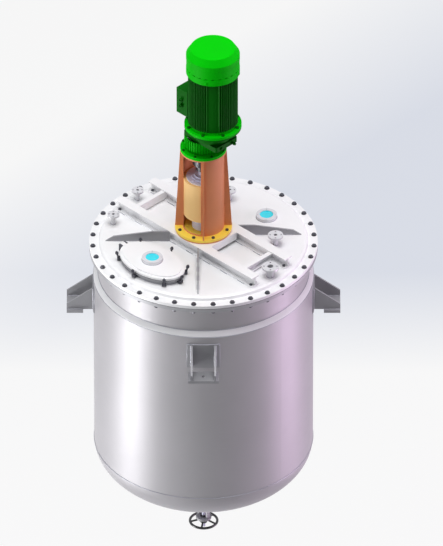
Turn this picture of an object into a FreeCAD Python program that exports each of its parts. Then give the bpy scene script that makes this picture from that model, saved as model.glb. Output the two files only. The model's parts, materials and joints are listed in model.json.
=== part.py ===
import FreeCAD, Part
import math
import os

# A jacketed mixing kettle, in millimetres. Z is up along the vessel axis, the beams lie along X, and the
# origin is on the vessel axis at the underside of the support lugs.

V = FreeCAD.Vector
UP = V(0, 0, 1)
os.makedirs("parts", exist_ok=True)

# Clearances
running_gap = 0.05
free_gap = 0.5
weld_gap = 0.3

# Vessel
shell_inner_radius = 640.0
shell_wall = 8.0
jacket_gap = 19.0
jacket_wall = 8.0
jacket_bottom_gap = 19.0
jacket_tangent_z = -987.0
cone_top_z = 260.0
cone_lip = 7.0
flange_reach = 52.0
vessel_flange_thickness = 23.0
gasket_thickness = 3.0
gasket_width = 28.0
lid_flange_thickness = 20.0
lid_flange_top_z = 478.0
lid_raise = 22.0
lid_flat_inset = 19.0
lid_foot_reach = 3.0
lid_knee_share = 0.7
lid_plate_thickness = 20.0
flange_bolt_count = 36
flange_bolt_inset = 20.0
flange_bolt_radius = 8.0
flange_bolt_hole_radius = 9.0
flange_bolt_head_flats = 24.0
flange_bolt_head_height = 10.0
flange_nut_height = 13.0
flange_bolt_tail = 5.0

# Support lugs
lug_count = 4
lug_first_angle = 45.0
lug_pad_width = 198.0
lug_pad_bottom_z = 5.0
lug_pad_top_z = 175.0
lug_pad_thickness = 8.0
lug_plate_width = 187.0
lug_plate_thickness = 18.0
lug_plate_gap = 64.0
lug_reach = 165.0
lug_bolt_inset = 50.0
lug_bolt_hole_radius = 12.0
lug_gusset_spacing = 144.0
lug_gusset_thickness = 12.0
lug_gusset_height = 154.0
lug_gusset_tip_height = 38.0

# Jacket nozzles: angles about the vessel axis and heights of the pipe axes
jacket_inlet_angle = 90.0
jacket_inlet_z = 120.0
jacket_outlet_angle = 180.0
jacket_outlet_z = -880.0
jacket_nozzle_length = 110.0
jacket_nozzle_pipe_radius = 28.5
jacket_nozzle_bore_radius = 25.0
jacket_nozzle_flange_radius = 70.0
jacket_nozzle_flange_thickness = 16.0
jacket_nozzle_bolt_circle_radius = 55.0
jacket_nozzle_bolt_hole_radius = 7.0
nozzle_first_hole_angle = 45.0

# Lid nozzles: x, y, flange radius, pipe radius, bore radius, bolt circle radius, bolt hole radius
lid_nozzle_sizes = (
    (-494.0, -287.0, 37.5, 12.5, 9.5, 27.0, 5.5),
    (-572.0, 0.0, 37.5, 12.5, 9.5, 27.0, 5.5),
    (-175.0, 402.0, 40.0, 12.5, 9.5, 29.0, 5.5),
    (365.0, 259.0, 47.5, 14.0, 11.0, 34.0, 6.0),
    (578.0, 0.0, 52.5, 22.0, 18.5, 39.0, 6.0),
)
lid_nozzle_height = 74.0
lid_nozzle_flange_thickness = 12.0
nozzle_bolt_count = 4

# Lid beams
beam_offset = 142.0
beam_half_length = 592.0
beam_width = 61.0
beam_height = 72.0
beam_flange_thickness = 8.0
beam_web_thickness = 6.0
cross_member_offset = 450.0
cross_member_height = 52.0
cross_member_flange = 28.0
cross_member_thickness = 6.0
beam_bolt_inset = 24.0
beam_bolt_radius = 5.0
beam_bolt_flats = 17.0
beam_bolt_head_height = 7.0
beam_bolt_side = 17.0

# Base plate between the beams
base_plate_half_length = 176.0
base_plate_thickness = 12.0
base_plate_skirt_thickness = 8.0
base_plate_skirt_height = 52.0

# Stiffening ribs of the lid
rib_angles = (45.0, 135.0, 225.0, 315.0)
rib_root_offset = 47.0
rib_thickness = 10.0
rib_height = 70.0
rib_level_length = 278.0
rib_slope_length = 517.0
rib_tip_height = 35.0
rib_full_length = 567.0

# Agitator neck and seat
neck_inner_radius = 75.0
neck_wall = 8.0
seat_radius = 172.0
seat_thickness = 10.0

# Drive stand
stand_base_radius = 175.0
stand_base_thickness = 15.0
stand_bolt_circle_radius = 156.0
stand_bolt_count = 8
stand_bolt_first_angle = 22.5
stand_bolt_radius = 6.0
stand_bolt_flats = 19.0
stand_bolt_head_height = 8.0
stand_tube_radius = 127.5
stand_tube_wall = 6.0
stand_height = 569.0
stand_top_thickness = 10.0
stand_top_radius = 142.0
stand_top_shaft_gap = 30.0
stand_sill = 8.0
stand_window_angle = 76.0
stand_rib_count = 4
stand_rib_first_angle = 45.0
stand_rib_thickness = 8.0
stand_rib_bottom_radius = 174.0

# Shaft, bearings and seal
shaft_radius = 32.5
shaft_bottom_z = -1150.0
shaft_end_chamfer = 4.0
barrel_bottom_z = 693.0
barrel_top_z = 956.0
barrel_wall = 9.0
barrel_web_thickness = 14.0
bearing_outer_radius = 70.0
bearing_width = 34.0
bearing_groove_width = 12.0
bearing_groove_depth = 5.0
bearing_sleeve_wall = 10.0
cap_radius = 105.0
cap_thickness = 10.0
cap_hub_radius = 58.0
cap_hub_height = 18.0
cap_step_radius = 74.0
cap_step_height = 7.0
cap_screw_circle_radius = 88.0
cap_screw_count = 6
cap_screw_first_angle = 30.0
seal_radius = 70.0
seal_flange_radius = 116.0
seal_flange_thickness = 14.0
seal_height = 72.0
seal_cover_thickness = 14.0
seal_groove_width = 7.0
seal_groove_depth = 3.5
seal_screw_circle_radius = 100.0
seal_screw_count = 8
seal_screw_flats = 10.0
seal_screw_head_height = 5.0

# Shaft coupling
coupling_radius = 67.0
coupling_flange_thickness = 20.0
coupling_hub_radius = 46.0
coupling_hub_length = 44.0
coupling_middle_z = 1081.0
coupling_bolt_circle_radius = 56.0
coupling_bolt_count = 6
coupling_bolt_radius = 5.0
coupling_bolt_flats = 15.0
coupling_bolt_head_height = 6.0

# Impellers: the heights of their hubs
impeller_heights = (-1090.0, -420.0)
impeller_radius = 320.0
impeller_hub_radius = 52.0
impeller_hub_height = 90.0
impeller_blade_count = 4
impeller_blade_width = 80.0
impeller_blade_thickness = 10.0
impeller_blade_pitch = 45.0

# Gear reducer
gear_module = 2.5
pressure_angle = math.radians(20.0)
tooth_head = gear_module
tooth_foot = 1.25 * gear_module
tooth_thinning = 0.12
planet_count = 3
sun_teeth = 18
planet_teeth = 27
ring_teeth = 72
pinion_teeth = 16
driven_teeth = 50
planet_gear_width = 30.0
sun_gear_width = 36.0
ring_gear_width = 36.0
driven_gear_width = 14.0
lightening_hole_count = 6
lightening_hole_rim = 10.0
pinion_gear_width = 16.0
ring_gear_radius = 106.0
reducer_flange_radius = 142.0
reducer_flange_thickness = 20.0
reducer_neck_radius = 85.0
reducer_neck_height = 15.0
reducer_case_radius = 112.0
reducer_rib_radius = 118.0
reducer_rib_thickness = 5.0
reducer_rib_count = 44
reducer_case_height = 107.0
reducer_floor_thickness = 8.0
reducer_bolt_circle_radius = 132.5
reducer_bolt_count = 8
reducer_bolt_first_angle = 22.5
reducer_bolt_radius = 5.0
reducer_bolt_flats = 16.0
reducer_bolt_head_height = 6.0
output_shaft_radius = 30.0
carrier_plate_radius = 80.0
carrier_plate_thickness = 8.0
planet_pin_radius = 9.0
planet_side_gap = 1.0
sun_shaft_radius = 13.0
box_x_low = -81.0
box_x_high = 203.0
box_half_width = 93.0
box_height = 26.0
box_wall = 8.0
box_floor = 6.0
box_corner_radius = 14.0
adaptor_foot_thickness = 8.0
adaptor_foot_radius = 112.0
adaptor_top_radius = 150.0
adaptor_height = 84.0
adaptor_wall = 8.0
adaptor_flange_lip = 24.0
breather_radius = 8.0
breather_length = 26.0
breather_cap_radius = 11.0
plug_flats = 17.0

# Motor
motor_flange_radius = 175.0
motor_flange_thickness = 18.0
motor_register_height = 22.0
motor_bolt_circle_radius = 160.0
motor_bolt_count = 8
motor_bolt_first_angle = 22.5
motor_bolt_radius = 6.0
motor_bolt_flats = 19.0
motor_bolt_head_height = 8.0
motor_shield_bolt_gap = 2.5
motor_height = 552.0
motor_frame_wall = 15.0
motor_fin_height = 24.0
motor_fin_sides = 4
motor_fin_pitch = 13.0
motor_fin_thickness = 5.0
motor_fin_reach = 80.0
motor_pad_rise = 17.0
motor_pad_angle = 25.0
motor_pad_first_angle = 45.0
motor_shield_thickness = 14.0
motor_shaft_radius = 21.0
pinion_shaft_radius = 12.0
rotor_radius = 74.0
rotor_length = 190.0
air_gap = 1.0
rotor_start = 90.0
cowl_radius = 164.0
cowl_wall = 2.5
cowl_height = 175.0
cowl_fin_gap = 4.5
cowl_bevel_inset = 27.0
cowl_bevel_height = 42.0
cowl_band_height = 32.0
cowl_step = 1.5
cowl_slot_count = 24
cowl_slot_height = 5.0
cowl_slot_width = 18.0
cowl_screw_count = 4
cowl_screw_first_angle = 30.0
cowl_screw_radius = 4.0
cowl_screw_head_radius = 7.0
cowl_lower_band_height = 40.0
fan_cowl_gap = 21.5
fan_hub_radius = 34.0
fan_hub_height = 44.0
fan_blade_count = 7
fan_blade_height = 40.0
fan_blade_thickness = 4.0
fan_disc_thickness = 5.0
fan_rise = 60.0
terminal_box_low = 19.0
terminal_box_high = 199.0
terminal_box_half_width = 94.0
terminal_box_reach = 225.0
terminal_lid_thickness = 16.0
terminal_box_wall = 5.0
terminal_box_root = 140.0
gland_radius = 12.0
gland_length = 16.0
gland_bore_radius = 7.0
gland_spacing = 42.0

# Manhole
manhole_y = -442.0
manhole_half_length = 238.0
manhole_half_width = 150.0
manhole_neck_inset = 12.0
manhole_neck_wall = 8.0
manhole_flange_z = 524.0
manhole_flange_thickness = 10.0
manhole_flange_bore_inset = 24.0
manhole_cover_thickness = 12.0
manhole_dome_inset = 22.0
manhole_dome_height = 7.0
manhole_bolt_angles = (0.0, 36.0, 90.0, 144.0, 216.0, 270.0, 324.0)
manhole_hinge_offset = 18.0
manhole_knuckle_radius = 9.0
manhole_knuckle_width = 30.0
manhole_hinge_pin_radius = 5.0
manhole_hinge_ear_thickness = 10.0
manhole_hinge_side_gap = 0.5
manhole_hinge_z = 543.0
swing_pivot_z = 515.0
swing_bolt_offset = 8.0
swing_bolt_radius = 6.0
swing_eye_radius = 9.5
swing_eye_width = 13.0
swing_pin_radius = 4.5
swing_ear_thickness = 6.0
swing_ear_reach = 16.0
swing_nut_flats = 19.0
swing_nut_height = 10.0
swing_bolt_tail = 7.0
swing_lean = 15.0
hex_turn = 30.0

# Sight glasses
sight_ring_radius = 64.0
sight_glass_radius = 50.0
sight_view_radius = 41.5
sight_base_thickness = 10.0
sight_glass_thickness = 8.0
sight_glass_seat = 3.0
sight_ring_thickness = 10.0
sight_screw_circle_radius = 57.0
sight_screw_count = 4
sight_screw_first_angle = 45.0
sight_screw_flats = 10.0
sight_screw_height = 4.0
lid_sight_x = 117.0
lid_sight_y = 430.0

# Drain valve
outlet_bore_radius = 40.0
outlet_neck_wall = 6.0
outlet_flange_radius = 92.0
outlet_flange_thickness = 14.0
outlet_neck_length = 47.5
valve_bolt_circle_radius = 74.0
valve_bolt_count = 8
valve_bolt_first_angle = 22.5
valve_bolt_radius = 7.0
valve_bolt_hole_radius = 8.0
valve_bolt_flats = 20.0
valve_bolt_head_height = 8.0
valve_body_radius = 62.0
valve_body_height = 100.0
valve_wall = 10.0
valve_outlet_angle = 180.0
valve_outlet_reach = 140.0
valve_outlet_radius = 34.0
valve_outlet_bore_radius = 27.0
valve_outlet_flange_radius = 70.0
valve_outlet_bolt_circle_radius = 55.0
valve_disc_thickness = 10.0
valve_stem_radius = 11.0
valve_lift = 24.0
valve_bonnet_thickness = 14.0
yoke_arm_offset = 36.0
yoke_arm_width = 24.0
yoke_arm_thickness = 12.0
yoke_height = 90.0
yoke_bridge_thickness = 16.0
yoke_bridge_radius = 48.0
handwheel_radius = 92.5
handwheel_rim_radius = 8.0
handwheel_hub_radius = 22.0
handwheel_hub_height = 30.0
handwheel_spoke_count = 5
handwheel_spoke_radius = 6.0
handwheel_dish = 14.0
handwheel_first_spoke_angle = 90.0
yoke_nut_radius = 18.0
yoke_collar_reach = 3.0
yoke_collar_height = 5.0
valve_stem_tail = 8.0

# Heights and radii that follow from the values above
shell_outer_radius = shell_inner_radius + shell_wall
jacket_inner_radius = shell_outer_radius + jacket_gap
jacket_outer_radius = jacket_inner_radius + jacket_wall
jacket_top_z = cone_top_z - (jacket_outer_radius - shell_outer_radius) - cone_lip
flange_radius = shell_outer_radius + flange_reach
flange_bolt_circle_radius = flange_radius - flange_bolt_inset
lid_flat_radius = shell_inner_radius - lid_flat_inset
lid_foot_radius = shell_inner_radius + lid_foot_reach
lug_plate_inner_radius = jacket_outer_radius + lug_plate_gap
lug_outer_radius = jacket_outer_radius + lug_reach
lug_bolt_circle_radius = lug_outer_radius - lug_bolt_inset
jacket_nozzle_reach = jacket_outer_radius + jacket_nozzle_length
jacket_nozzle_places = ((jacket_inlet_angle, jacket_inlet_z), (jacket_outlet_angle, jacket_outlet_z))
lid_flange_bottom_z = lid_flange_top_z - lid_flange_thickness
vessel_flange_top_z = lid_flange_bottom_z - gasket_thickness
vessel_flange_bottom_z = vessel_flange_top_z - vessel_flange_thickness
lid_top_z = lid_flange_top_z + lid_raise
lid_under_z = lid_top_z - lid_plate_thickness
head_depth = jacket_outer_radius / 2
inner_head_depth = shell_outer_radius / 2
inner_tangent_z = jacket_tangent_z - (head_depth - jacket_wall) + jacket_bottom_gap + inner_head_depth
beam_top_z = lid_top_z + beam_height
beam_inner_edge = beam_offset - beam_width / 2
seat_top_z = beam_top_z + seat_thickness
stand_base_top_z = seat_top_z + stand_base_thickness
stand_top_z = stand_base_top_z + stand_height
stand_tube_bore = stand_tube_radius - stand_tube_wall
reducer_top_z = stand_top_z + reducer_case_height
box_top_z = reducer_top_z + box_height
adaptor_top_z = box_top_z + adaptor_height
motor_base_z = adaptor_top_z
motor_flange_top_z = motor_base_z + motor_flange_thickness
motor_top_z = motor_flange_top_z + motor_height
cowl_bottom_z = motor_top_z - cowl_height
motor_x = gear_module * (pinion_teeth + driven_teeth) / 2
motor_fin_radius = cowl_radius - cowl_wall - cowl_fin_gap
motor_frame_radius = motor_fin_radius - motor_fin_height
motor_pad_radius = motor_frame_radius + motor_pad_rise
motor_bore_radius = motor_frame_radius - motor_frame_wall
cowl_flat_radius = cowl_radius - cowl_bevel_inset
fan_radius = cowl_radius - cowl_wall - fan_cowl_gap
gasket_top_z = manhole_flange_z + manhole_flange_thickness + gasket_thickness
cover_top_z = gasket_top_z + manhole_cover_thickness
cover_dome_z = cover_top_z + manhole_dome_height
outlet_flange_z = jacket_tangent_z - head_depth - outlet_neck_length
outlet_flange_bottom_z = outlet_flange_z - outlet_flange_thickness


def save(node, solids):
    """Write one node from its solids."""
    shape = solids[0] if len(solids) == 1 else Part.makeCompound(solids)
    shape.exportStep("parts/" + node + ".step")


def disc(radius, low, high, x=0.0, y=0.0):
    """An upright cylinder between two heights."""
    return Part.makeCylinder(radius, high - low, V(x, y, low), UP)


def ring(outer, inner, low, high, x=0.0, y=0.0):
    """An upright tube between two heights."""
    return disc(outer, low, high, x, y).cut(disc(inner, low, high, x, y))


def box(x_low, x_high, y_low, y_high, z_low, z_high):
    """A box between its corners."""
    return Part.makeBox(x_high - x_low, y_high - y_low, z_high - z_low, V(x_low, y_low, z_low))


def turned(points, x=0.0, y=0.0):
    """A solid turned about a vertical axis from (radius, height) points."""
    corners = [V(x + radius, y, height) for radius, height in points]
    face = Part.Face(Part.makePolygon(corners + corners[:1]))
    return face.revolve(V(x, y, 0), UP, 360)


def hexagon(flats, low, high, x=0.0, y=0.0, turn=0.0):
    """An upright hexagonal prism."""
    reach = flats / math.sqrt(3)
    corners = []
    for step in range(7):
        angle = math.radians(turn + 60 * step)
        corners.append(V(x + reach * math.cos(angle), y + reach * math.sin(angle), low))
    return Part.Face(Part.makePolygon(corners)).extrude(V(0, 0, high - low))


def turn_copy(shape, angle, x=0.0, y=0.0):
    """A copy turned about a vertical axis, in degrees."""
    copy = shape.copy()
    copy.rotate(V(x, y, 0), UP, angle)
    return copy


def around(shape, count, first=0.0, x=0.0, y=0.0):
    """Copies of a shape spread evenly about a vertical axis."""
    return [turn_copy(shape, first + 360 * step / count, x, y) for step in range(count)]


def circle_places(radius, count, first=0.0, x=0.0, y=0.0):
    """The (x, y) places on a bolt circle."""
    angles = [math.radians(first + 360 * step / count) for step in range(count)]
    return [(x + radius * math.cos(angle), y + radius * math.sin(angle)) for angle in angles]


def drill(shape, places, radius, low, high):
    """Cut upright holes at the given places."""
    return shape.cut(Part.makeCompound([disc(radius, low, high, x, y) for x, y in places]))


def half_ellipsoid(radius, depth, tangent_z):
    """The lower half of an ellipsoid of revolution."""
    curve = Part.Ellipse(V(radius, 0, tangent_z), V(0, 0, tangent_z - depth), V(0, 0, tangent_z))
    arc = curve.toShape(0, math.pi / 2)
    down = Part.makeLine(V(0, 0, tangent_z - depth), V(0, 0, tangent_z))
    across = Part.makeLine(V(0, 0, tangent_z), V(radius, 0, tangent_z))
    return Part.Face(Part.Wire([arc, down, across])).revolve(V(0, 0, 0), UP, 360)


def dished_head(outer, wall, tangent_z):
    """A two to one ellipsoidal head of even wall."""
    outside = half_ellipsoid(outer, outer / 2, tangent_z)
    return outside.cut(half_ellipsoid(outer - wall, outer / 2 - wall, tangent_z))


# Vessel


def inner_vessel():
    """The inner shell."""
    return [ring(shell_outer_radius, shell_inner_radius, inner_tangent_z, vessel_flange_top_z)]


def vessel_head():
    """The bottom head of the inner shell, with the outlet hole."""
    head = dished_head(shell_outer_radius, shell_wall, inner_tangent_z)
    return [head.cut(disc(outlet_bore_radius + outlet_neck_wall, outlet_flange_z, inner_tangent_z))]


def vessel_flange():
    """The body flange on the inner shell."""
    plate = ring(flange_radius, shell_outer_radius, vessel_flange_bottom_z, vessel_flange_top_z)
    places = circle_places(flange_bolt_circle_radius, flange_bolt_count)
    return [drill(plate, places, flange_bolt_hole_radius, vessel_flange_bottom_z, vessel_flange_top_z)]


def jacket():
    """The jacket shell, with holes for the nozzles."""
    shell = ring(jacket_outer_radius, jacket_inner_radius, jacket_tangent_z, jacket_top_z)
    for angle, height in jacket_nozzle_places:
        bore = Part.makeCylinder(jacket_nozzle_pipe_radius, jacket_nozzle_reach, V(0, 0, height), V(1, 0, 0))
        shell = shell.cut(turn_copy(bore, angle))
    return [shell]


def jacket_head():
    """The bottom head of the jacket, with the outlet hole."""
    head = dished_head(jacket_outer_radius, jacket_wall, jacket_tangent_z)
    return [head.cut(disc(outlet_bore_radius + outlet_neck_wall, outlet_flange_z, jacket_tangent_z))]


def jacket_closing_cone():
    """The cone that closes the jacket on the inner shell."""
    return [turned([
        (shell_outer_radius, cone_top_z),
        (jacket_outer_radius, jacket_top_z + cone_lip),
        (jacket_outer_radius, jacket_top_z),
        (jacket_inner_radius, jacket_top_z),
        (shell_outer_radius, jacket_top_z + jacket_inner_radius - shell_outer_radius),
    ])]


def jacket_nozzle(angle, height):
    """One radial pipe with its flange."""
    out = V(1, 0, 0)
    start = V(jacket_inner_radius, 0, height)
    length = jacket_nozzle_reach - jacket_inner_radius
    pipe = Part.makeCylinder(jacket_nozzle_pipe_radius, length, start, out)
    flange_start = V(jacket_nozzle_reach - jacket_nozzle_flange_thickness, 0, height)
    flange = Part.makeCylinder(jacket_nozzle_flange_radius, jacket_nozzle_flange_thickness, flange_start, out)
    nozzle = pipe.fuse(flange).cut(Part.makeCylinder(jacket_nozzle_bore_radius, length, start, out))
    for y, z in circle_places(jacket_nozzle_bolt_circle_radius, nozzle_bolt_count,
                              nozzle_first_hole_angle, 0.0, height):
        hole_start = V(flange_start.x, y, z)
        nozzle = nozzle.cut(Part.makeCylinder(
            jacket_nozzle_bolt_hole_radius, jacket_nozzle_flange_thickness, hole_start, out))
    return turn_copy(nozzle, angle)


def jacket_nozzles():
    """The jacket inlet and outlet."""
    return [jacket_nozzle(angle, height) for angle, height in jacket_nozzle_places]


def support_lugs():
    """Pad, two gussets and base plate of each lug."""
    solids = []
    pad_radius = jacket_outer_radius + lug_pad_thickness
    pad = ring(pad_radius, jacket_outer_radius, lug_pad_bottom_z, lug_pad_top_z)
    half = lug_pad_width / 2
    pad = pad.common(box(0, pad_radius, -half, half, lug_pad_bottom_z, lug_pad_top_z))
    plate = box(lug_plate_inner_radius, lug_outer_radius, -lug_plate_width / 2, lug_plate_width / 2,
                0, lug_plate_thickness)
    plate = plate.cut(disc(lug_bolt_hole_radius, 0, lug_plate_thickness, lug_bolt_circle_radius, 0))
    profile = [
        V(jacket_outer_radius / 2, 0, lug_plate_thickness),
        V(lug_outer_radius, 0, lug_plate_thickness),
        V(lug_outer_radius, 0, lug_plate_thickness + lug_gusset_tip_height),
        V(pad_radius, 0, lug_plate_thickness + lug_gusset_height),
        V(jacket_outer_radius / 2, 0, lug_plate_thickness + lug_gusset_height),
    ]
    gusset = Part.Face(Part.makePolygon(profile + profile[:1])).extrude(V(0, lug_gusset_thickness, 0))
    parts = [pad, plate]
    for side in (-1, 1):
        copy = gusset.copy()
        copy.translate(V(0, side * lug_gusset_spacing / 2 - lug_gusset_thickness / 2, 0))
        parts.append(copy.cut(disc(pad_radius, 0, lug_plate_thickness + lug_pad_top_z)))
    for part in parts:
        solids += around(part, lug_count, lug_first_angle)
    return solids


# Lid


def manhole_outline(inset, height):
    """The oval edge of the manhole, drawn in from the rim by an inset."""
    centre = V(0, manhole_y, height)
    oval = Part.Ellipse(centre, manhole_half_length - inset, manhole_half_width - inset)
    return Part.Wire(oval.toShape())


def oval_disc(inset, low, high):
    """An oval plate of the manhole's shape."""
    return Part.Face(manhole_outline(inset, low)).extrude(V(0, 0, high - low))


def gaskets():
    """The gasket under the lid and the gasket on the manhole flange."""
    outer = shell_inner_radius + gasket_width
    lid_gasket = ring(outer, shell_inner_radius, vessel_flange_top_z, lid_flange_bottom_z)
    flange_top = manhole_flange_z + manhole_flange_thickness
    oval = oval_disc(free_gap, flange_top, gasket_top_z)
    return [lid_gasket, oval.cut(oval_disc(manhole_flange_bore_inset, flange_top, gasket_top_z))]


def lid():
    """The raised lid plate with its holes."""
    edge = lid_flange_top_z
    slope = lid_foot_radius - lid_flat_radius
    body = turned([
        (0, lid_top_z), (lid_flat_radius, lid_top_z),
        (lid_flat_radius + slope * lid_knee_share, lid_top_z - lid_raise * (1 - lid_knee_share)),
        (lid_foot_radius, edge), (flange_radius, edge), (flange_radius, lid_flange_bottom_z),
        (shell_inner_radius, lid_flange_bottom_z), (lid_flat_radius - free_gap, lid_under_z),
        (0, lid_under_z),
    ])
    places = circle_places(flange_bolt_circle_radius, flange_bolt_count)
    body = drill(body, places, flange_bolt_hole_radius, lid_flange_bottom_z, edge)
    for x, y, _, pipe, _, _, _ in lid_nozzle_sizes:
        body = body.cut(disc(pipe, lid_under_z, lid_top_z, x, y))
    body = body.cut(disc(neck_inner_radius + neck_wall, lid_under_z, lid_top_z))
    body = body.cut(disc(sight_view_radius, lid_under_z, lid_top_z, lid_sight_x, lid_sight_y))
    return [body.cut(oval_disc(manhole_neck_inset, lid_under_z, lid_top_z))]


def lid_bolts():
    """Bolts and nuts of the lid flange, and the hold-down bolts of the drive frame and the stand."""
    head_top = lid_flange_top_z + flange_bolt_head_height
    nut_low = vessel_flange_bottom_z - flange_nut_height
    x = flange_bolt_circle_radius
    bolt = hexagon(flange_bolt_head_flats, lid_flange_top_z, head_top, x)
    bolt = bolt.fuse(disc(flange_bolt_radius, nut_low - flange_bolt_tail, lid_flange_top_z, x))
    nut = hexagon(flange_bolt_head_flats, nut_low, vessel_flange_bottom_z, x)
    nut = nut.cut(disc(flange_bolt_radius, nut_low, vessel_flange_bottom_z, x))
    return around(bolt, flange_bolt_count) + around(nut, flange_bolt_count) + drive_bolts()


def lid_nozzles():
    """Pipe stubs with flanges on the lid."""
    solids = []
    top = lid_top_z + lid_nozzle_height
    for x, y, flange, pipe, bore, circle, hole in lid_nozzle_sizes:
        stub = disc(pipe, lid_under_z, top, x, y)
        stub = stub.fuse(disc(flange, top - lid_nozzle_flange_thickness, top, x, y))
        stub = stub.cut(disc(bore, lid_under_z, top, x, y))
        places = circle_places(circle, nozzle_bolt_count, nozzle_first_hole_angle, x, y)
        solids.append(drill(stub, places, hole, lid_top_z, top))
    return solids


def lid_ribs():
    """Four upright plates that run out diagonally from the beams."""
    profile = [
        (0, 0), (rib_full_length, 0), (rib_slope_length, rib_tip_height),
        (rib_level_length, rib_height), (0, rib_height),
    ]
    corners = [V(x, -rib_thickness / 2, lid_top_z + z) for x, z in profile]
    plate = Part.Face(Part.makePolygon(corners + corners[:1])).extrude(V(0, rib_thickness, 0))
    solids = []
    clear = beam_offset + beam_width / 2
    beams = box(-beam_half_length, beam_half_length, -clear, clear, lid_top_z, beam_top_z)
    for angle in rib_angles:
        copy = turn_copy(plate, angle)
        side = 1 if angle < 180 else -1
        copy.translate(V(0, side * rib_root_offset, 0))
        solids.append(copy.cut(beams))
    return solids


def lid_beams():
    """The welded drive frame: two H beams along X, cross members and base plate."""
    solids = []
    low = lid_top_z
    for side in (-1, 1):
        y = side * beam_offset
        half = beam_half_length
        web = box(-half, half, y - beam_web_thickness / 2, y + beam_web_thickness / 2, low, beam_top_z)
        edge = beam_width / 2
        lower = box(-half, half, y - edge, y + edge, low, low + beam_flange_thickness)
        upper = box(-half, half, y - edge, y + edge, beam_top_z - beam_flange_thickness, beam_top_z)
        beam = web.fuse([lower, upper]).removeSplitter()
        solids.append(drill(beam, beam_bolt_places(side), beam_bolt_radius, low, low + beam_flange_thickness))
    return solids + cross_members() + drive_base_plate()


def beam_bolt_places(side):
    """Hold-down bolts at both ends of one beam, either side of its web."""
    places = []
    for end in (-1, 1):
        for edge in (-1, 1):
            x = end * (beam_half_length - beam_bolt_inset)
            places.append((x, side * beam_offset + edge * beam_bolt_side))
    return places


def cross_members():
    """Two channels between the beam webs."""
    solids = []
    inside = beam_offset - beam_web_thickness / 2
    low = lid_top_z + (beam_height - cross_member_height) / 2
    high = low + cross_member_height
    for side in (-1, 1):
        near = side * cross_member_offset
        far = side * (cross_member_offset + cross_member_thickness)
        reach = side * (cross_member_offset + cross_member_flange)
        web = box(min(near, far), max(near, far), -inside, inside, low, high)
        lower = box(min(near, reach), max(near, reach), -inside, inside, low, low + cross_member_thickness)
        upper = box(min(near, reach), max(near, reach), -inside, inside, high - cross_member_thickness, high)
        solids.append(web.fuse([lower, upper]).removeSplitter())
    return solids


def drive_base_plate():
    """The plate between the beams with a skirt at each end."""
    half = base_plate_half_length
    edge = beam_inner_edge
    low = beam_top_z - base_plate_thickness
    plate = box(-half, half, -edge, edge, low, beam_top_z)
    plate = plate.cut(disc(neck_inner_radius + neck_wall, low, beam_top_z))
    skirt_low = beam_top_z - base_plate_skirt_height
    skirts = []
    for side in (-1, 1):
        inner = side * (half - base_plate_skirt_thickness)
        outer = side * half
        skirts.append(box(min(inner, outer), max(inner, outer), -edge, edge, skirt_low, low))
    return [plate.fuse(skirts).removeSplitter()]


# Drive stand


def stand_seat():
    """The agitator neck on the lid with its seat plate."""
    neck = disc(neck_inner_radius + neck_wall, lid_under_z, beam_top_z)
    seat = neck.fuse(disc(seat_radius, beam_top_z, seat_top_z))
    seat = seat.cut(disc(neck_inner_radius, lid_under_z, seat_top_z))
    return [drill(seat, stand_bolt_places(), stand_bolt_radius, beam_top_z, seat_top_z)]


def stand_bolt_places():
    """Bolt circle of the stand's base flange."""
    return circle_places(stand_bolt_circle_radius, stand_bolt_count, stand_bolt_first_angle)


def stand_base_flange():
    """The outer base flange and, inside the tube, the seal flange with its screws."""
    outer = ring(stand_base_radius, stand_tube_bore, seat_top_z, stand_base_top_z)
    outer = drill(outer, stand_bolt_places(), stand_bolt_radius, seat_top_z, stand_base_top_z)
    seal_top = seat_top_z + seal_flange_thickness
    inner = ring(seal_flange_radius, seal_radius, seat_top_z, seal_top)
    solids = [outer, inner]
    for x, y in circle_places(seal_screw_circle_radius, seal_screw_count):
        solids.append(hexagon(seal_screw_flats, seal_top, seal_top + seal_screw_head_height, x, y))
    return solids


def window_wedge(low, high):
    """The space of the window on the -Y side."""
    reach = 2 * stand_tube_radius
    half = math.radians(stand_window_angle / 2)
    corners = [V(0, 0, low), V(-reach * math.sin(half), -reach * math.cos(half), low)]
    corners += [V(reach * math.sin(half), -reach * math.cos(half), low), V(0, 0, low)]
    return Part.Face(Part.makePolygon(corners)).extrude(V(0, 0, high - low))


def stand_tube():
    """The tube with a tall window on each Y side, its top flange and its ribs."""
    tube_top = stand_top_z - stand_top_thickness
    tube = ring(stand_tube_radius, stand_tube_bore, stand_base_top_z, tube_top)
    window = window_wedge(stand_base_top_z + stand_sill, tube_top)
    tube = tube.cut(window).cut(turn_copy(window, 180))
    top = ring(stand_top_radius, output_shaft_radius + stand_top_shaft_gap, tube_top, stand_top_z)
    top = drill(top, reducer_bolt_places(), reducer_bolt_radius, tube_top, stand_top_z)
    return [tube, top] + stand_ribs()


def stand_ribs():
    """Four tapered plates on the diagonals of the tube."""
    inner = stand_tube_radius - stand_tube_wall / 2
    top = stand_top_z - stand_top_thickness
    corners = [V(inner, 0, stand_base_top_z), V(stand_rib_bottom_radius, 0, stand_base_top_z)]
    corners += [V(stand_top_radius, 0, top), V(inner, 0, top), V(inner, 0, stand_base_top_z)]
    half = stand_rib_thickness / 2
    plate = Part.Face(Part.makePolygon(corners)).extrude(V(0, stand_rib_thickness, 0))
    plate.translate(V(0, -half, 0))
    plate = plate.cut(disc(stand_tube_radius, stand_base_top_z, top))
    return around(plate, stand_rib_count, stand_rib_first_angle)


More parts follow.
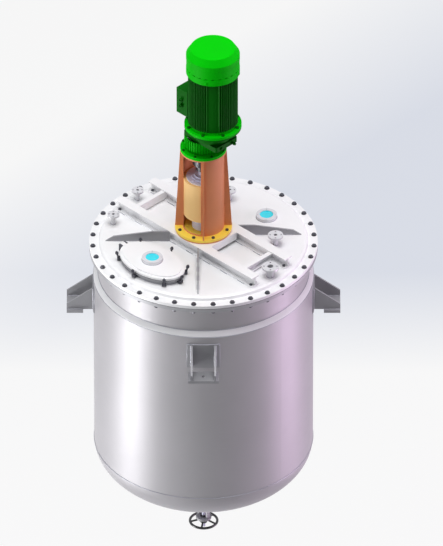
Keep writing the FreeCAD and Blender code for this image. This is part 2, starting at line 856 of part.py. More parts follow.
def drive_bolts():
    """Hold-down bolts of the beams and of the stand."""
    solids = []
    for side in (-1, 1):
        for x, y in beam_bolt_places(side):
            seat = lid_top_z + beam_flange_thickness
            head = hexagon(beam_bolt_flats, seat, seat + beam_bolt_head_height, x, y)
            solids.append(head.fuse(disc(beam_bolt_radius, lid_top_z, seat, x, y)))
    for x, y in stand_bolt_places():
        high = stand_base_top_z + stand_bolt_head_height
        head = hexagon(stand_bolt_flats, stand_base_top_z, high, x, y)
        solids.append(head.fuse(disc(stand_bolt_radius, beam_top_z, stand_base_top_z, x, y)))
    return solids


# Shaft and bearings


def bearing_housing():
    """The barrel in the tube, with a web that carries the sleeve of the bearings."""
    outer = stand_tube_bore
    barrel = ring(outer, outer - barrel_wall, barrel_bottom_z, barrel_top_z)
    sleeve_outer = bearing_outer_radius + bearing_sleeve_wall
    solids = [ring(sleeve_outer, bearing_outer_radius, barrel_bottom_z, barrel_top_z)]
    for low in (barrel_bottom_z, barrel_top_z - barrel_web_thickness):
        solids.append(ring(outer - barrel_wall / 2, bearing_outer_radius, low, low + barrel_web_thickness))
    return [barrel.fuse(solids).removeSplitter()]


def bearing_cap():
    """The cap on the barrel with its raised hub and screws."""
    top = barrel_top_z + cap_thickness
    bore = shaft_radius + free_gap
    cap = disc(cap_radius, barrel_top_z, top).fuse([
        disc(cap_step_radius, top, top + cap_step_height), disc(cap_hub_radius, top, top + cap_hub_height),
    ])
    solids = [cap.cut(disc(bore, barrel_top_z, top + cap_hub_height))]
    for x, y in circle_places(cap_screw_circle_radius, cap_screw_count, cap_screw_first_angle):
        solids.append(hexagon(seal_screw_flats, top, top + seal_screw_head_height, x, y))
    return solids


def shaft_bearings():
    """Two bearings, each turned with a groove that marks its races."""
    solids = []
    middle = (bearing_outer_radius + shaft_radius) / 2
    for low in (barrel_bottom_z, barrel_top_z - bearing_width):
        bearing = ring(bearing_outer_radius, shaft_radius + running_gap, low, low + bearing_width)
        half = bearing_groove_width / 2
        groove = ring(middle + half, middle - half, low, low + bearing_groove_depth)
        upper_groove = groove.copy()
        upper_groove.translate(V(0, 0, bearing_width - bearing_groove_depth))
        solids.append(bearing.cut(groove).cut(upper_groove))
    return solids


def shaft_seal():
    """The seal housing with its bore around the shaft."""
    top = seat_top_z + seal_height
    body = ring(seal_radius, shaft_radius + running_gap, seat_top_z, top)
    low = top - seal_cover_thickness
    groove = ring(seal_radius, seal_radius - seal_groove_depth, low, low + seal_groove_width)
    return [body.cut(groove)]


def agitator_shaft():
    """The solid shaft from the coupling to the lower impeller."""
    shaft = disc(shaft_radius, shaft_bottom_z, coupling_middle_z)
    end = [edge for edge in shaft.Edges if edge.BoundBox.ZMax < shaft_bottom_z + free_gap]
    return [shaft.makeChamfer(shaft_end_chamfer, end)]


def coupling_half(bore):
    """The lower half: hub and flange, bored for its shaft."""
    low = coupling_middle_z - coupling_flange_thickness - coupling_hub_length
    flange = disc(coupling_radius, coupling_middle_z - coupling_flange_thickness, coupling_middle_z)
    half = flange.fuse(disc(coupling_hub_radius, low, coupling_middle_z))
    half = half.cut(disc(bore, low, coupling_middle_z))
    places = circle_places(coupling_bolt_circle_radius, coupling_bolt_count)
    return drill(half, places, coupling_bolt_radius, low, coupling_middle_z)


def shaft_coupling():
    """Both coupling halves and their bolts."""
    lower = coupling_half(shaft_radius)
    upper = coupling_half(output_shaft_radius).mirror(V(0, 0, coupling_middle_z), UP)
    solids = [lower, upper]
    low = coupling_middle_z - coupling_flange_thickness
    high = coupling_middle_z + coupling_flange_thickness
    for x, y in circle_places(coupling_bolt_circle_radius, coupling_bolt_count):
        head = hexagon(coupling_bolt_flats, high, high + coupling_bolt_head_height, x, y)
        nut = hexagon(coupling_bolt_flats, low - coupling_bolt_head_height, low, x, y)
        solids.append(disc(coupling_bolt_radius, low, high, x, y).fuse([head, nut]))
    return solids


def impellers():
    """Hubs on the shaft, each with pitched blades."""
    solids = []
    for height in impeller_heights:
        low = height - impeller_hub_height / 2
        hub = ring(impeller_hub_radius, shaft_radius, low, low + impeller_hub_height)
        inner = (impeller_hub_radius + shaft_radius) / 2
        half = impeller_blade_thickness / 2
        blade = box(inner, impeller_radius, -half, half, -impeller_blade_width / 2, impeller_blade_width / 2)
        blade.rotate(V(0, 0, 0), V(1, 0, 0), impeller_blade_pitch)
        blade.translate(V(0, 0, height))
        solids.append(hub.fuse(around(blade, impeller_blade_count)).removeSplitter())
    return solids


# Gear reducer


def involute_angle(base, radius):
    """The polar angle that an involute has turned at a radius."""
    roll = math.sqrt(max(0.0, (radius / base) ** 2 - 1))
    return roll - math.atan(roll)


def gear_outline(teeth, root, tip, thinning, height):
    """The outline of a spur gear with a tooth centred on the X axis."""
    pitch = gear_module * teeth / 2
    base = pitch * math.cos(pressure_angle)
    start = max(base, root)
    half_tooth = (math.pi * gear_module / 2 - thinning) / (2 * pitch)
    at_pitch = involute_angle(base, pitch)

    def flank(radius, side, centre):
        angle = centre + side * (half_tooth + at_pitch - involute_angle(base, radius))
        return V(radius * math.cos(angle), radius * math.sin(angle), height)

    def polar(radius, angle):
        return V(radius * math.cos(angle), radius * math.sin(angle), height)

    edges = []
    middle = (start + tip) / 2
    foot_angle = half_tooth + at_pitch
    for tooth in range(teeth):
        centre = 2 * math.pi * tooth / teeth
        low_right = flank(start, -1, centre)
        high_right = flank(tip, -1, centre)
        high_left = flank(tip, 1, centre)
        low_left = flank(start, 1, centre)
        if start > root:
            edges.append(Part.makeLine(polar(root, centre - foot_angle), low_right))
        edges.append(Part.Arc(low_right, flank(middle, -1, centre), high_right).toShape())
        edges.append(Part.Arc(high_right, polar(tip, centre), high_left).toShape())
        edges.append(Part.Arc(high_left, flank(middle, 1, centre), low_left).toShape())
        if start > root:
            edges.append(Part.makeLine(low_left, polar(root, centre + foot_angle)))
            foot_start = polar(root, centre + foot_angle)
        else:
            foot_start = low_left
            foot_angle = half_tooth + at_pitch - involute_angle(base, start)
        following = centre + 2 * math.pi / teeth
        foot_end = polar(root if start > root else start, following - foot_angle)
        gap = polar(root if start > root else start, centre + math.pi / teeth)
        edges.append(Part.Arc(foot_start, gap, foot_end).toShape())
    return Part.Wire(edges)


def spur_gear(teeth, low, width, turn=0.0, x=0.0):
    """An external spur gear blank with its teeth."""
    pitch = gear_module * teeth / 2
    outline = gear_outline(teeth, pitch - tooth_foot, pitch + tooth_head, tooth_thinning, low)
    gear = Part.Face(outline).extrude(V(0, 0, width))
    gear.rotate(V(0, 0, 0), UP, turn)
    gear.translate(V(x, 0, 0))
    return gear


def gear_levels():
    """The floor of the round case and the height of the planets."""
    floor = stand_top_z + reducer_flange_thickness + reducer_neck_height + reducer_floor_thickness
    carrier_low = floor + planet_side_gap
    planets = carrier_low + carrier_plate_thickness + planet_side_gap
    return floor, carrier_low, planets


planet_circle_radius = gear_module * (sun_teeth + planet_teeth) / 2


def ring_gear():
    """The fixed internal gear of the round case."""
    _, _, planets = gear_levels()
    low = planets - (ring_gear_width - planet_gear_width) / 2
    pitch = gear_module * ring_teeth / 2
    outline = gear_outline(ring_teeth, pitch - tooth_head, pitch + tooth_foot, -tooth_thinning, low)
    cutter = Part.Face(outline).extrude(V(0, 0, ring_gear_width))
    return [disc(ring_gear_radius, low, low + ring_gear_width).cut(cutter)]


def planet_carrier():
    """The output shaft, two plates and the planet pins."""
    _, carrier_low, planets = gear_levels()
    upper_low = planets + planet_gear_width + planet_side_gap
    upper_high = upper_low + carrier_plate_thickness
    shaft = disc(output_shaft_radius, coupling_middle_z, carrier_low)
    lower = disc(carrier_plate_radius, carrier_low, carrier_low + carrier_plate_thickness)
    sun_clear = gear_module * (sun_teeth / 2 + 1) + 2 * free_gap
    upper = ring(carrier_plate_radius, sun_clear, upper_low, upper_high)
    bodies = [lower, upper]
    for x, y in circle_places(planet_circle_radius, planet_count):
        bodies.append(disc(planet_pin_radius, carrier_low, upper_high, x, y))
    return [shaft.fuse(bodies).removeSplitter()]


def planet_gear(number):
    """One planet on its pin."""
    _, _, planets = gear_levels()
    gear = spur_gear(planet_teeth, planets, planet_gear_width)
    gear = gear.cut(disc(planet_pin_radius + running_gap, planets, planets + planet_gear_width))
    gear.rotate(V(0, 0, 0), UP, 360.0 * number / planet_count)
    place = circle_places(planet_circle_radius, planet_count)[number]
    gear.translate(V(place[0], place[1], 0))
    return [gear]


def sun_shaft():
    """The sun gear and the driven gear on their common shaft."""
    _, _, planets = gear_levels()
    driven_low = reducer_top_z + box_floor + 3 * planet_side_gap
    driven_high = driven_low + driven_gear_width
    sun = spur_gear(sun_teeth, planets, sun_gear_width)
    shaft = disc(sun_shaft_radius, planets, driven_high)
    driven = spur_gear(driven_teeth, driven_low, driven_gear_width)
    root = gear_module * driven_teeth / 2 - tooth_foot
    places = circle_places((root + sun_shaft_radius) / 2, lightening_hole_count)
    hole_radius = (root - sun_shaft_radius) / 2 - lightening_hole_rim
    driven = drill(driven, places, hole_radius, driven_low, driven_high)
    return [shaft.fuse([sun, driven])]


def reducer_bolt_places():
    """Bolt circle of the reducer's output flange."""
    return circle_places(reducer_bolt_circle_radius, reducer_bolt_count, reducer_bolt_first_angle)


def gearbox_lower_case():
    """The round ribbed case on a neck over its output flange."""
    floor, _, _ = gear_levels()
    flange_top = stand_top_z + reducer_flange_thickness
    flange = disc(reducer_flange_radius, stand_top_z, flange_top)
    case_low = flange_top + reducer_neck_height
    neck = disc(reducer_neck_radius, flange_top, case_low)
    case = flange.fuse([neck, disc(reducer_case_radius, case_low, reducer_top_z)])
    half = reducer_rib_thickness / 2
    rib = box(reducer_case_radius - half, reducer_rib_radius, -half, half, case_low, reducer_top_z)
    case = case.fuse(around(rib, reducer_rib_count))
    case = case.cut(disc(ring_gear_radius, floor, reducer_top_z))
    case = case.cut(disc(output_shaft_radius + running_gap, stand_top_z, floor))
    return [drill(case, reducer_bolt_places(), reducer_bolt_radius, stand_top_z, flange_top)]


def rounded_box(inset, low, high):
    """The rectangular outline of the upper case with round upright corners."""
    half = box_half_width - inset
    body = box(box_x_low + inset, box_x_high - inset, -half, half, low, high)
    upright = [edge for edge in body.Edges if abs(edge.tangentAt(edge.FirstParameter).z) > 0.99]
    return body.makeFillet(box_corner_radius - inset / 2, upright)


def gearbox_upper_case():
    """The rectangular case and the round motor adaptor on it."""
    case = rounded_box(0.0, reducer_top_z, box_top_z)
    case = case.cut(rounded_box(box_wall, reducer_top_z + box_floor, box_top_z))
    case = case.cut(disc(sun_shaft_radius + running_gap, reducer_top_z, box_top_z))
    foot_top = box_top_z + adaptor_foot_thickness
    plate = rounded_box(0.0, box_top_z, foot_top)
    flange_low = adaptor_top_z - adaptor_foot_thickness
    body = turned([
        (0, foot_top), (adaptor_foot_radius, foot_top), (adaptor_top_radius, flange_low),
        (motor_flange_radius, flange_low), (motor_flange_radius, adaptor_top_z), (0, adaptor_top_z),
    ], motor_x)
    hollow = turned([
        (0, foot_top), (adaptor_foot_radius - adaptor_wall, foot_top),
        (adaptor_top_radius - adaptor_flange_lip, adaptor_top_z), (0, adaptor_top_z),
    ], motor_x)
    adaptor = plate.fuse(body).cut(hollow)
    adaptor = adaptor.cut(disc(motor_shaft_radius + box_wall, box_top_z, foot_top, motor_x))
    adaptor = drill(adaptor, motor_bolt_places(), motor_bolt_radius, flange_low, adaptor_top_z)
    return [case, adaptor.removeSplitter()]


def gearbox_fittings():
    """Flange bolts, motor bolts, breather and drain plugs of the reducer."""
    solids = []
    flange_top = stand_top_z + reducer_flange_thickness
    bolt_low = stand_top_z - stand_top_thickness
    for x, y in reducer_bolt_places():
        head = hexagon(reducer_bolt_flats, flange_top, flange_top + reducer_bolt_head_height, x, y)
        solids.append(head.fuse(disc(reducer_bolt_radius, bolt_low, flange_top, x, y)))
    for x, y in motor_bolt_places():
        high = motor_flange_top_z + motor_bolt_head_height
        head = hexagon(motor_bolt_flats, motor_flange_top_z, high, x, y)
        low = adaptor_top_z - adaptor_foot_thickness
        solids.append(head.fuse(disc(motor_bolt_radius, low, motor_flange_top_z, x, y)))
    middle = reducer_top_z + box_height / 2
    out = V(1, 0, 0)
    pipe = Part.makeCylinder(breather_radius, breather_length, V(box_x_high, box_half_width / 2, middle), out)
    cap_start = V(box_x_high + breather_length - breather_cap_radius, box_half_width / 2, middle)
    solids.append(pipe.fuse(Part.makeSphere(breather_cap_radius, cap_start, out)))
    plug = hexagon(plug_flats, 0, breather_radius)
    plug.rotate(V(0, 0, 0), V(0, 1, 0), 90)
    plug.translate(V(box_x_high, -box_half_width / 2, middle))
    solids.append(plug)
    return solids


# Motor


def motor_bolt_places():
    """Bolt circle of the motor flange."""
    return circle_places(motor_bolt_circle_radius, motor_bolt_count, motor_bolt_first_angle, motor_x)


def motor_flange():
    """The flange with the lower end shield."""
    high = motor_flange_top_z + motor_register_height
    shield = disc(motor_flange_radius, motor_base_z, motor_flange_top_z, motor_x)
    edge = motor_bolt_circle_radius - motor_bolt_flats / math.sqrt(3) - motor_shield_bolt_gap
    shield = shield.fuse(disc(edge, motor_flange_top_z, high, motor_x))
    shield = shield.cut(disc(motor_shaft_radius + running_gap, motor_base_z, high, motor_x))
    return [drill(shield, motor_bolt_places(), motor_bolt_radius, motor_base_z, motor_flange_top_z)]


def frame_levels():
    """The lower and upper end of the finned frame."""
    return motor_flange_top_z + motor_register_height, cowl_bottom_z + motor_register_height


def motor_frame():
    """The finned frame with four smooth pads, and the upper end shield."""
    low, high = frame_levels()
    frame = disc(motor_frame_radius, low, high)
    half = motor_fin_thickness / 2
    rows = int(motor_fin_reach / motor_fin_pitch)
    fins = []
    for row in range(-rows, rows + 1):
        y = row * motor_fin_pitch
        inner = math.sqrt(motor_frame_radius ** 2 - y ** 2) - motor_fin_thickness * 2
        outer = math.sqrt(motor_fin_radius ** 2 - (abs(y) + half) ** 2)
        fins.append(box(inner, outer, y - half, y + half, low, high))
    pieces = []
    for fin in fins:
        pieces += around(fin, motor_fin_sides)
    pad = ring(motor_pad_radius, motor_frame_radius - motor_fin_thickness, low, high)
    reach = 2 * motor_pad_radius
    spread = math.radians(motor_pad_angle / 2)
    corners = [V(0, 0, low), V(reach * math.cos(spread), -reach * math.sin(spread), low)]
    corners += [V(reach * math.cos(spread), reach * math.sin(spread), low), V(0, 0, low)]
    pad = pad.common(Part.Face(Part.makePolygon(corners)).extrude(V(0, 0, high - low)))
    pieces += around(pad, motor_fin_sides, motor_pad_first_angle)
    frame = frame.fuse(pieces).removeSplitter().cut(disc(motor_bore_radius, low, high))
    frame.translate(V(motor_x, 0, 0))
    shield_high = high + motor_shield_thickness
    shield = disc(motor_frame_radius, high, shield_high, motor_x)
    shield = shield.cut(disc(motor_shaft_radius + running_gap, high, shield_high, motor_x))
    return [frame, shield]


def motor_stator():
    """The stator pack with its end windings."""
    low = motor_flange_top_z + rotor_start
    high = low + rotor_length
    pack = ring(motor_bore_radius, rotor_radius + air_gap, low, high, motor_x)
    inner = rotor_radius + 4 * air_gap
    outer = motor_bore_radius - 4 * air_gap
    end = motor_register_height
    lower = ring(outer, inner, low - end, low, motor_x)
    upper = ring(outer, inner, high, high + end, motor_x)
    return [pack.fuse([lower, upper])]


def motor_rotor():
    """The motor shaft with its core, and the pinion on the shaft's end."""
    pinion_low = reducer_top_z + box_floor + planet_side_gap
    pinion_high = pinion_low + pinion_gear_width
    step = box_top_z + adaptor_foot_thickness
    top = cowl_bottom_z + fan_rise + fan_hub_height
    low = motor_flange_top_z + rotor_start
    shaft = disc(motor_shaft_radius, step, top, motor_x)
    shaft = shaft.fuse(disc(rotor_radius, low, low + rotor_length, motor_x))
    shaft = shaft.fuse(disc(pinion_shaft_radius, pinion_low, step, motor_x))
    pinion = spur_gear(pinion_teeth, pinion_low, pinion_gear_width, 180.0 / pinion_teeth, motor_x)
    return [shaft, pinion.cut(disc(pinion_shaft_radius, pinion_low, pinion_high, motor_x))]


def motor_fan():
    """The radial fan on the shaft's upper end."""
    low = cowl_bottom_z + fan_rise
    hub = ring(fan_hub_radius, motor_shaft_radius, low, low + fan_hub_height)
    plate = ring(fan_radius, motor_shaft_radius, low, low + fan_disc_thickness)
    half = fan_blade_thickness / 2
    inner = (fan_hub_radius + motor_shaft_radius) / 2
    blade = box(inner, fan_radius, -half, half, low, low + fan_disc_thickness + fan_blade_height)
    fan = hub.fuse([plate] + around(blade, fan_blade_count)).removeSplitter()
    fan = fan.cut(disc(motor_shaft_radius, low, low + 2 * fan_hub_height))
    fan.translate(V(motor_x, 0, 0))
    return [fan]


def cowl_profile(inset):
    """The stepped outline of the cowl, drawn in by its wall."""
    bevel = motor_top_z - cowl_bevel_height
    band = bevel - cowl_band_height
    lower = cowl_bottom_z + cowl_lower_band_height
    return [
        (0, cowl_bottom_z), (cowl_radius - inset, cowl_bottom_z), (cowl_radius - inset, lower),
        (cowl_radius - cowl_step - inset, lower), (cowl_radius - cowl_step - inset, band - inset),
        (cowl_radius - inset, band - inset), (cowl_radius - inset, bevel - inset / 2),
        (cowl_flat_radius - inset / 2, motor_top_z - inset), (0, motor_top_z - inset),
    ]


def fan_cowl():
    """The cowl with narrow air slots, and its screws."""
    cowl = turned(cowl_profile(0.0)).cut(turned(cowl_profile(cowl_wall)))
    slot_low = cowl_bottom_z + cowl_lower_band_height + cowl_wall
    half = cowl_slot_width / 2
    slot = box(cowl_radius - 4 * cowl_wall, cowl_radius + cowl_wall, -half, half,
               slot_low, slot_low + cowl_slot_height)
    cowl = cowl.cut(Part.makeCompound(around(slot, cowl_slot_count)))
    height = cowl_bottom_z + motor_register_height / 2
    screws = []
    inner = motor_fin_radius
    outer = cowl_radius + cowl_screw_radius
    screw = Part.makeCylinder(cowl_screw_head_radius, outer - cowl_radius + running_gap,
                              V(cowl_radius - running_gap, 0, height), V(1, 0, 0))
    shank = Part.makeCylinder(cowl_screw_radius, outer - inner, V(inner, 0, height), V(1, 0, 0))
    screw = screw.fuse(shank)
    for copy in around(screw, cowl_screw_count, cowl_screw_first_angle):
        cowl = cowl.cut(copy)
        screws.append(copy)
    solids = [cowl] + screws
    for solid in solids:
        solid.translate(V(motor_x, 0, 0))
    return solids


def terminal_box():
    """The box on the -X side of the motor, its lid and two cable glands."""
    low = motor_flange_top_z + terminal_box_low
    high = motor_flange_top_z + terminal_box_high
    half = terminal_box_half_width
    split = terminal_box_reach - terminal_lid_thickness
    body = box(-split, -motor_frame_radius / 2, -half, half, low, high)
    wall = terminal_box_wall
    body = body.cut(box(-split, -terminal_box_root, -half + wall, half - wall, low + wall, high - wall))
    body = body.cut(disc(motor_fin_radius + free_gap, low, high))
    cover = box(-terminal_box_reach, -split, -half, half, low, high)
    outer_edges = [edge for edge in cover.Edges if edge.BoundBox.XMax < -split - wall]
    cover = cover.makeChamfer(wall, outer_edges)
    solids = [body, cover]
    middle = (low + high) / 2
    for side in (-1, 1):
        x = -(split + terminal_box_root) / 2
        start = V(x, -half, middle + side * gland_spacing / 2)
        inside = V(x, -half + wall, start.z)
        gland = Part.makeCylinder(gland_radius, gland_length, start, V(0, -1, 0))
        bore = Part.makeCylinder(gland_bore_radius, gland_length + wall, inside, V(0, -1, 0))
        solids[0] = solids[0].cut(bore)
        solids.append(gland.cut(bore))
    for solid in solids:
        solid.translate(V(motor_x, 0, 0))
    return solids


# Manhole


def swing_place(angle):
    """The rim point, the outward direction and its angle at one swing bolt."""
    t = math.radians(angle)
    x = manhole_half_length * math.cos(t)
    y = manhole_half_width * math.sin(t)
    out = V(math.cos(t) / manhole_half_length, math.sin(t) / manhole_half_width, 0)
    out.normalize()
    return V(x, y + manhole_y, 0), out, math.degrees(math.atan2(out.y, out.x))


def at_swing_place(shape, angle):
    """A shape drawn with its pivot plane at the origin and its outward side along X, put in place."""
    rim, out, heading = swing_place(angle)
    copy = shape.copy()
    copy.rotate(V(0, 0, 0), UP, heading)
    copy.translate(rim)
    return copy


def manhole_neck():
    """The oval neck with its flange."""
    flange_top = manhole_flange_z + manhole_flange_thickness
    wall = oval_disc(manhole_neck_inset, lid_under_z, manhole_flange_z)
    neck = wall.fuse(oval_disc(free_gap, manhole_flange_z, flange_top))
    return [neck.cut(oval_disc(manhole_neck_inset + manhole_neck_wall, lid_under_z, flange_top))]


def manhole_ears():
    """The bolt ears and hinge ears on the neck, and their pins."""
    ear_low = swing_pivot_z - swing_eye_radius
    inner = swing_eye_width / 2 + free_gap
    ears = []
    pins = []
    for side in (-1, 1):
        near = side * inner
        far = side * (inner + swing_ear_thickness)
        ears.append(box(-manhole_neck_inset - manhole_neck_wall / 2, swing_ear_reach,
                        min(near, far), max(near, far), ear_low, manhole_flange_z - weld_gap))
    length = 2 * (inner + swing_ear_thickness)
    pin_start = V(swing_bolt_offset, -length / 2, swing_pivot_z)
    pin = Part.makeCylinder(swing_pin_radius, length, pin_start, V(0, 1, 0))
    placed = []
    for angle in manhole_bolt_angles:
        placed += [at_swing_place(ear, angle) for ear in ears]
        pins.append(at_swing_place(pin, angle))
    hinge_x = -manhole_half_length - manhole_hinge_offset
    inner = manhole_knuckle_width / 2 + manhole_hinge_side_gap
    outer = inner + manhole_hinge_ear_thickness
    for side in (-1, 1):
        low = min(side * inner, side * outer) + manhole_y
        high = max(side * inner, side * outer) + manhole_y
        foot_x = -manhole_half_length + manhole_neck_inset + manhole_neck_wall / 2
        clear_x = -manhole_half_length - 4 * free_gap
        back_x = hinge_x - manhole_knuckle_radius
        foot = box(back_x, foot_x, low, high, ear_low, manhole_flange_z - weld_gap)
        top = manhole_hinge_z + manhole_knuckle_radius
        placed.append(foot.fuse(box(back_x, clear_x, low, high, ear_low, top)))
    pin = Part.makeCylinder(manhole_hinge_pin_radius, 2 * outer,
                            V(hinge_x, manhole_y - outer, manhole_hinge_z), V(0, 1, 0))
    pins.append(pin)
    bores = Part.makeCompound(pins)
    neck = oval_disc(manhole_neck_inset - weld_gap, ear_low, manhole_flange_z)
    return [ear.cut(neck).cut(bores) for ear in placed] + pins


def manhole_cover():
    """The hinged oval cover with a raised middle and a knuckle, bored for its sight glass."""
    plate = oval_disc(0.0, gasket_top_z, cover_top_z)
    plate = plate.fuse(oval_disc(manhole_dome_inset, cover_top_z, cover_dome_z))
    plate = plate.cut(disc(sight_view_radius, gasket_top_z, cover_dome_z, 0, manhole_y))
    hinge_x = -manhole_half_length - manhole_hinge_offset
    half = manhole_knuckle_width / 2
    tongue = box(hinge_x, -manhole_half_length + manhole_neck_inset, manhole_y - half, manhole_y + half,
                 gasket_top_z, cover_top_z)
    start = V(hinge_x, manhole_y - half, manhole_hinge_z)
    barrel = Part.makeCylinder(manhole_knuckle_radius, manhole_knuckle_width, start, V(0, 1, 0))
    bore = Part.makeCylinder(manhole_hinge_pin_radius + running_gap, manhole_knuckle_width, start, V(0, 1, 0))
    return [plate.fuse([tongue, barrel]).cut(bore).removeSplitter()]


def swing_bolt(angle):
    """One eye bolt with its nut, leaned outward clear of the cover."""
    nut_low = cover_top_z + free_gap
    top = nut_low + swing_nut_height + swing_bolt_tail
    x = swing_bolt_offset
    half = swing_eye_width / 2
    start = V(x, -half, swing_pivot_z)
    eye = Part.makeCylinder(swing_eye_radius, swing_eye_width, start, V(0, 1, 0))
    eye = eye.cut(Part.makeCylinder(swing_pin_radius + running_gap, swing_eye_width, start, V(0, 1, 0)))
    shank_low = swing_pivot_z + (swing_eye_radius + swing_pin_radius) / 2
    bolt = eye.fuse(disc(swing_bolt_radius, shank_low, top, x))
    nut = hexagon(swing_nut_flats, nut_low, nut_low + swing_nut_height, x, 0.0, hex_turn)
    nut = nut.cut(disc(swing_bolt_radius, nut_low, nut_low + swing_nut_height, x))
    solids = []
    for part in (bolt, nut):
        part.rotate(V(x, 0, swing_pivot_z), V(0, 1, 0), swing_lean)
        solids.append(at_swing_place(part, angle))
    return solids


# Sight glasses


def sight_ring(x, y, seat):
    """Base ring, clamp ring and screws of a sight glass on a seat height."""
    middle = seat + sight_base_thickness
    glass_low = middle - sight_glass_seat
    top = middle + sight_ring_thickness
    glass_top = glass_low + sight_glass_thickness
    base = ring(sight_ring_radius, sight_view_radius, seat, middle, x, y)
    base = base.cut(disc(sight_glass_radius, glass_low, middle, x, y))
    clamp = ring(sight_ring_radius, sight_view_radius, middle, top, x, y)
    clamp = clamp.cut(disc(sight_glass_radius, middle, glass_top, x, y))
    solids = [base, clamp]
    places = circle_places(sight_screw_circle_radius, sight_screw_count, sight_screw_first_angle, x, y)
    for place_x, place_y in places:
        solids.append(hexagon(sight_screw_flats, top, top + sight_screw_height, place_x, place_y))
    return solids


def sight_glass(x, y, seat):
    """The glass disc between the rings."""
    low = seat + sight_base_thickness - sight_glass_seat
    return [disc(sight_glass_radius, low, low + sight_glass_thickness, x, y)]


# Drain valve


def yoke_levels():
    """The underside of the valve body and the underside of the yoke's bridge."""
    body_low = outlet_flange_bottom_z - outlet_flange_thickness - valve_body_height
    bridge_low = body_low - valve_bonnet_thickness - yoke_height - yoke_bridge_thickness
    return body_low, bridge_low


def valve_flange_places():
    """Bolt circle of the outlet flanges."""
    return circle_places(valve_bolt_circle_radius, valve_bolt_count, valve_bolt_first_angle)


def outlet_neck():
    """The outlet neck on the vessel with its flange."""
    neck_top = inner_tangent_z - inner_head_depth + shell_wall
    outer = outlet_bore_radius + outlet_neck_wall
    neck = disc(outer, outlet_flange_z, neck_top)
    neck = neck.fuse(disc(outlet_flange_radius, outlet_flange_bottom_z, outlet_flange_z))
    neck = neck.cut(disc(outlet_bore_radius, outlet_flange_bottom_z, neck_top))
    return [drill(neck, valve_flange_places(), valve_bolt_hole_radius, outlet_flange_bottom_z, outlet_flange_z)]


def valve_body():
    """The valve body with its side outlet."""
    body_low, _ = yoke_levels()
    flange_low = outlet_flange_bottom_z - outlet_flange_thickness
    body = disc(valve_body_radius, body_low, flange_low)
    body = body.fuse(disc(outlet_flange_radius, flange_low, outlet_flange_bottom_z))
    middle = (body_low + flange_low) / 2
    start = V(0, 0, middle)
    out = V(1, 0, 0)
    branch = Part.makeCylinder(valve_outlet_radius, valve_outlet_reach, start, out)
    flange_start = V(valve_outlet_reach - outlet_flange_thickness, 0, middle)
    flange = Part.makeCylinder(valve_outlet_flange_radius, outlet_flange_thickness, flange_start, out)
    for y, z in circle_places(valve_outlet_bolt_circle_radius, nozzle_bolt_count,
                              nozzle_first_hole_angle, 0.0, middle):
        hole_start = V(flange_start.x, y, z)
        hole = Part.makeCylinder(valve_bolt_hole_radius, outlet_flange_thickness, hole_start, out)
        flange = flange.cut(hole)
    branch = branch.fuse(flange)
    bore = Part.makeCylinder(valve_outlet_bore_radius, valve_outlet_reach, start, out)
    body = body.fuse(turn_copy(branch, valve_outlet_angle))
    body = body.cut(turn_copy(bore, valve_outlet_angle))
    body = body.cut(disc(outlet_bore_radius, body_low + valve_wall, outlet_flange_bottom_z))
    body = body.cut(disc(valve_stem_radius + running_gap, body_low, body_low + valve_wall))
    return [drill(body, valve_flange_places(), valve_bolt_hole_radius, flange_low, outlet_flange_bottom_z)]


def valve_bolts():
    """Bolts with nuts through the outlet flanges."""
    solids = []
    high = outlet_flange_z
    low = outlet_flange_bottom_z - outlet_flange_thickness
    for x, y in valve_flange_places():
        head = hexagon(valve_bolt_flats, high, high + valve_bolt_head_height, x, y)
        nut = hexagon(valve_bolt_flats, low - valve_bolt_head_height, low, x, y)
        solids.append(disc(valve_bolt_radius, low, high, x, y).fuse([head, nut]))
    return solids


def valve_yoke():
    """The bonnet, two arms and the bridge that carries the nut."""
    body_low, bridge_low = yoke_levels()
    bonnet_low = body_low - valve_bonnet_thickness
    bridge_high = bridge_low + yoke_bridge_thickness
    yoke = disc(valve_body_radius, bonnet_low, body_low)
    bridge = disc(yoke_bridge_radius, bridge_low, bridge_high)
    arms = []
    for side in (-1, 1):
        near = side * (yoke_arm_offset - yoke_arm_thickness / 2)
        far = side * (yoke_arm_offset + yoke_arm_thickness / 2)
        half = yoke_arm_width / 2
        arms.append(box(min(near, far), max(near, far), -half, half, bridge_high, bonnet_low))
    yoke = yoke.fuse([bridge] + arms).removeSplitter()
    yoke = yoke.cut(disc(valve_stem_radius + running_gap, bonnet_low, body_low))
    return [yoke.cut(disc(yoke_nut_radius + running_gap, bridge_low, bridge_high))]


def valve_stem():
    """The stem with its disc in the outlet's mouth."""
    _, bridge_low = yoke_levels()
    seat = inner_tangent_z - inner_head_depth + shell_wall + free_gap
    low = bridge_low - handwheel_hub_height - valve_stem_tail - valve_lift
    stem = disc(valve_stem_radius, low, seat)
    edge = outlet_bore_radius + outlet_neck_wall - 2 * free_gap
    return [stem.fuse(disc(edge, seat, seat + valve_disc_thickness))]


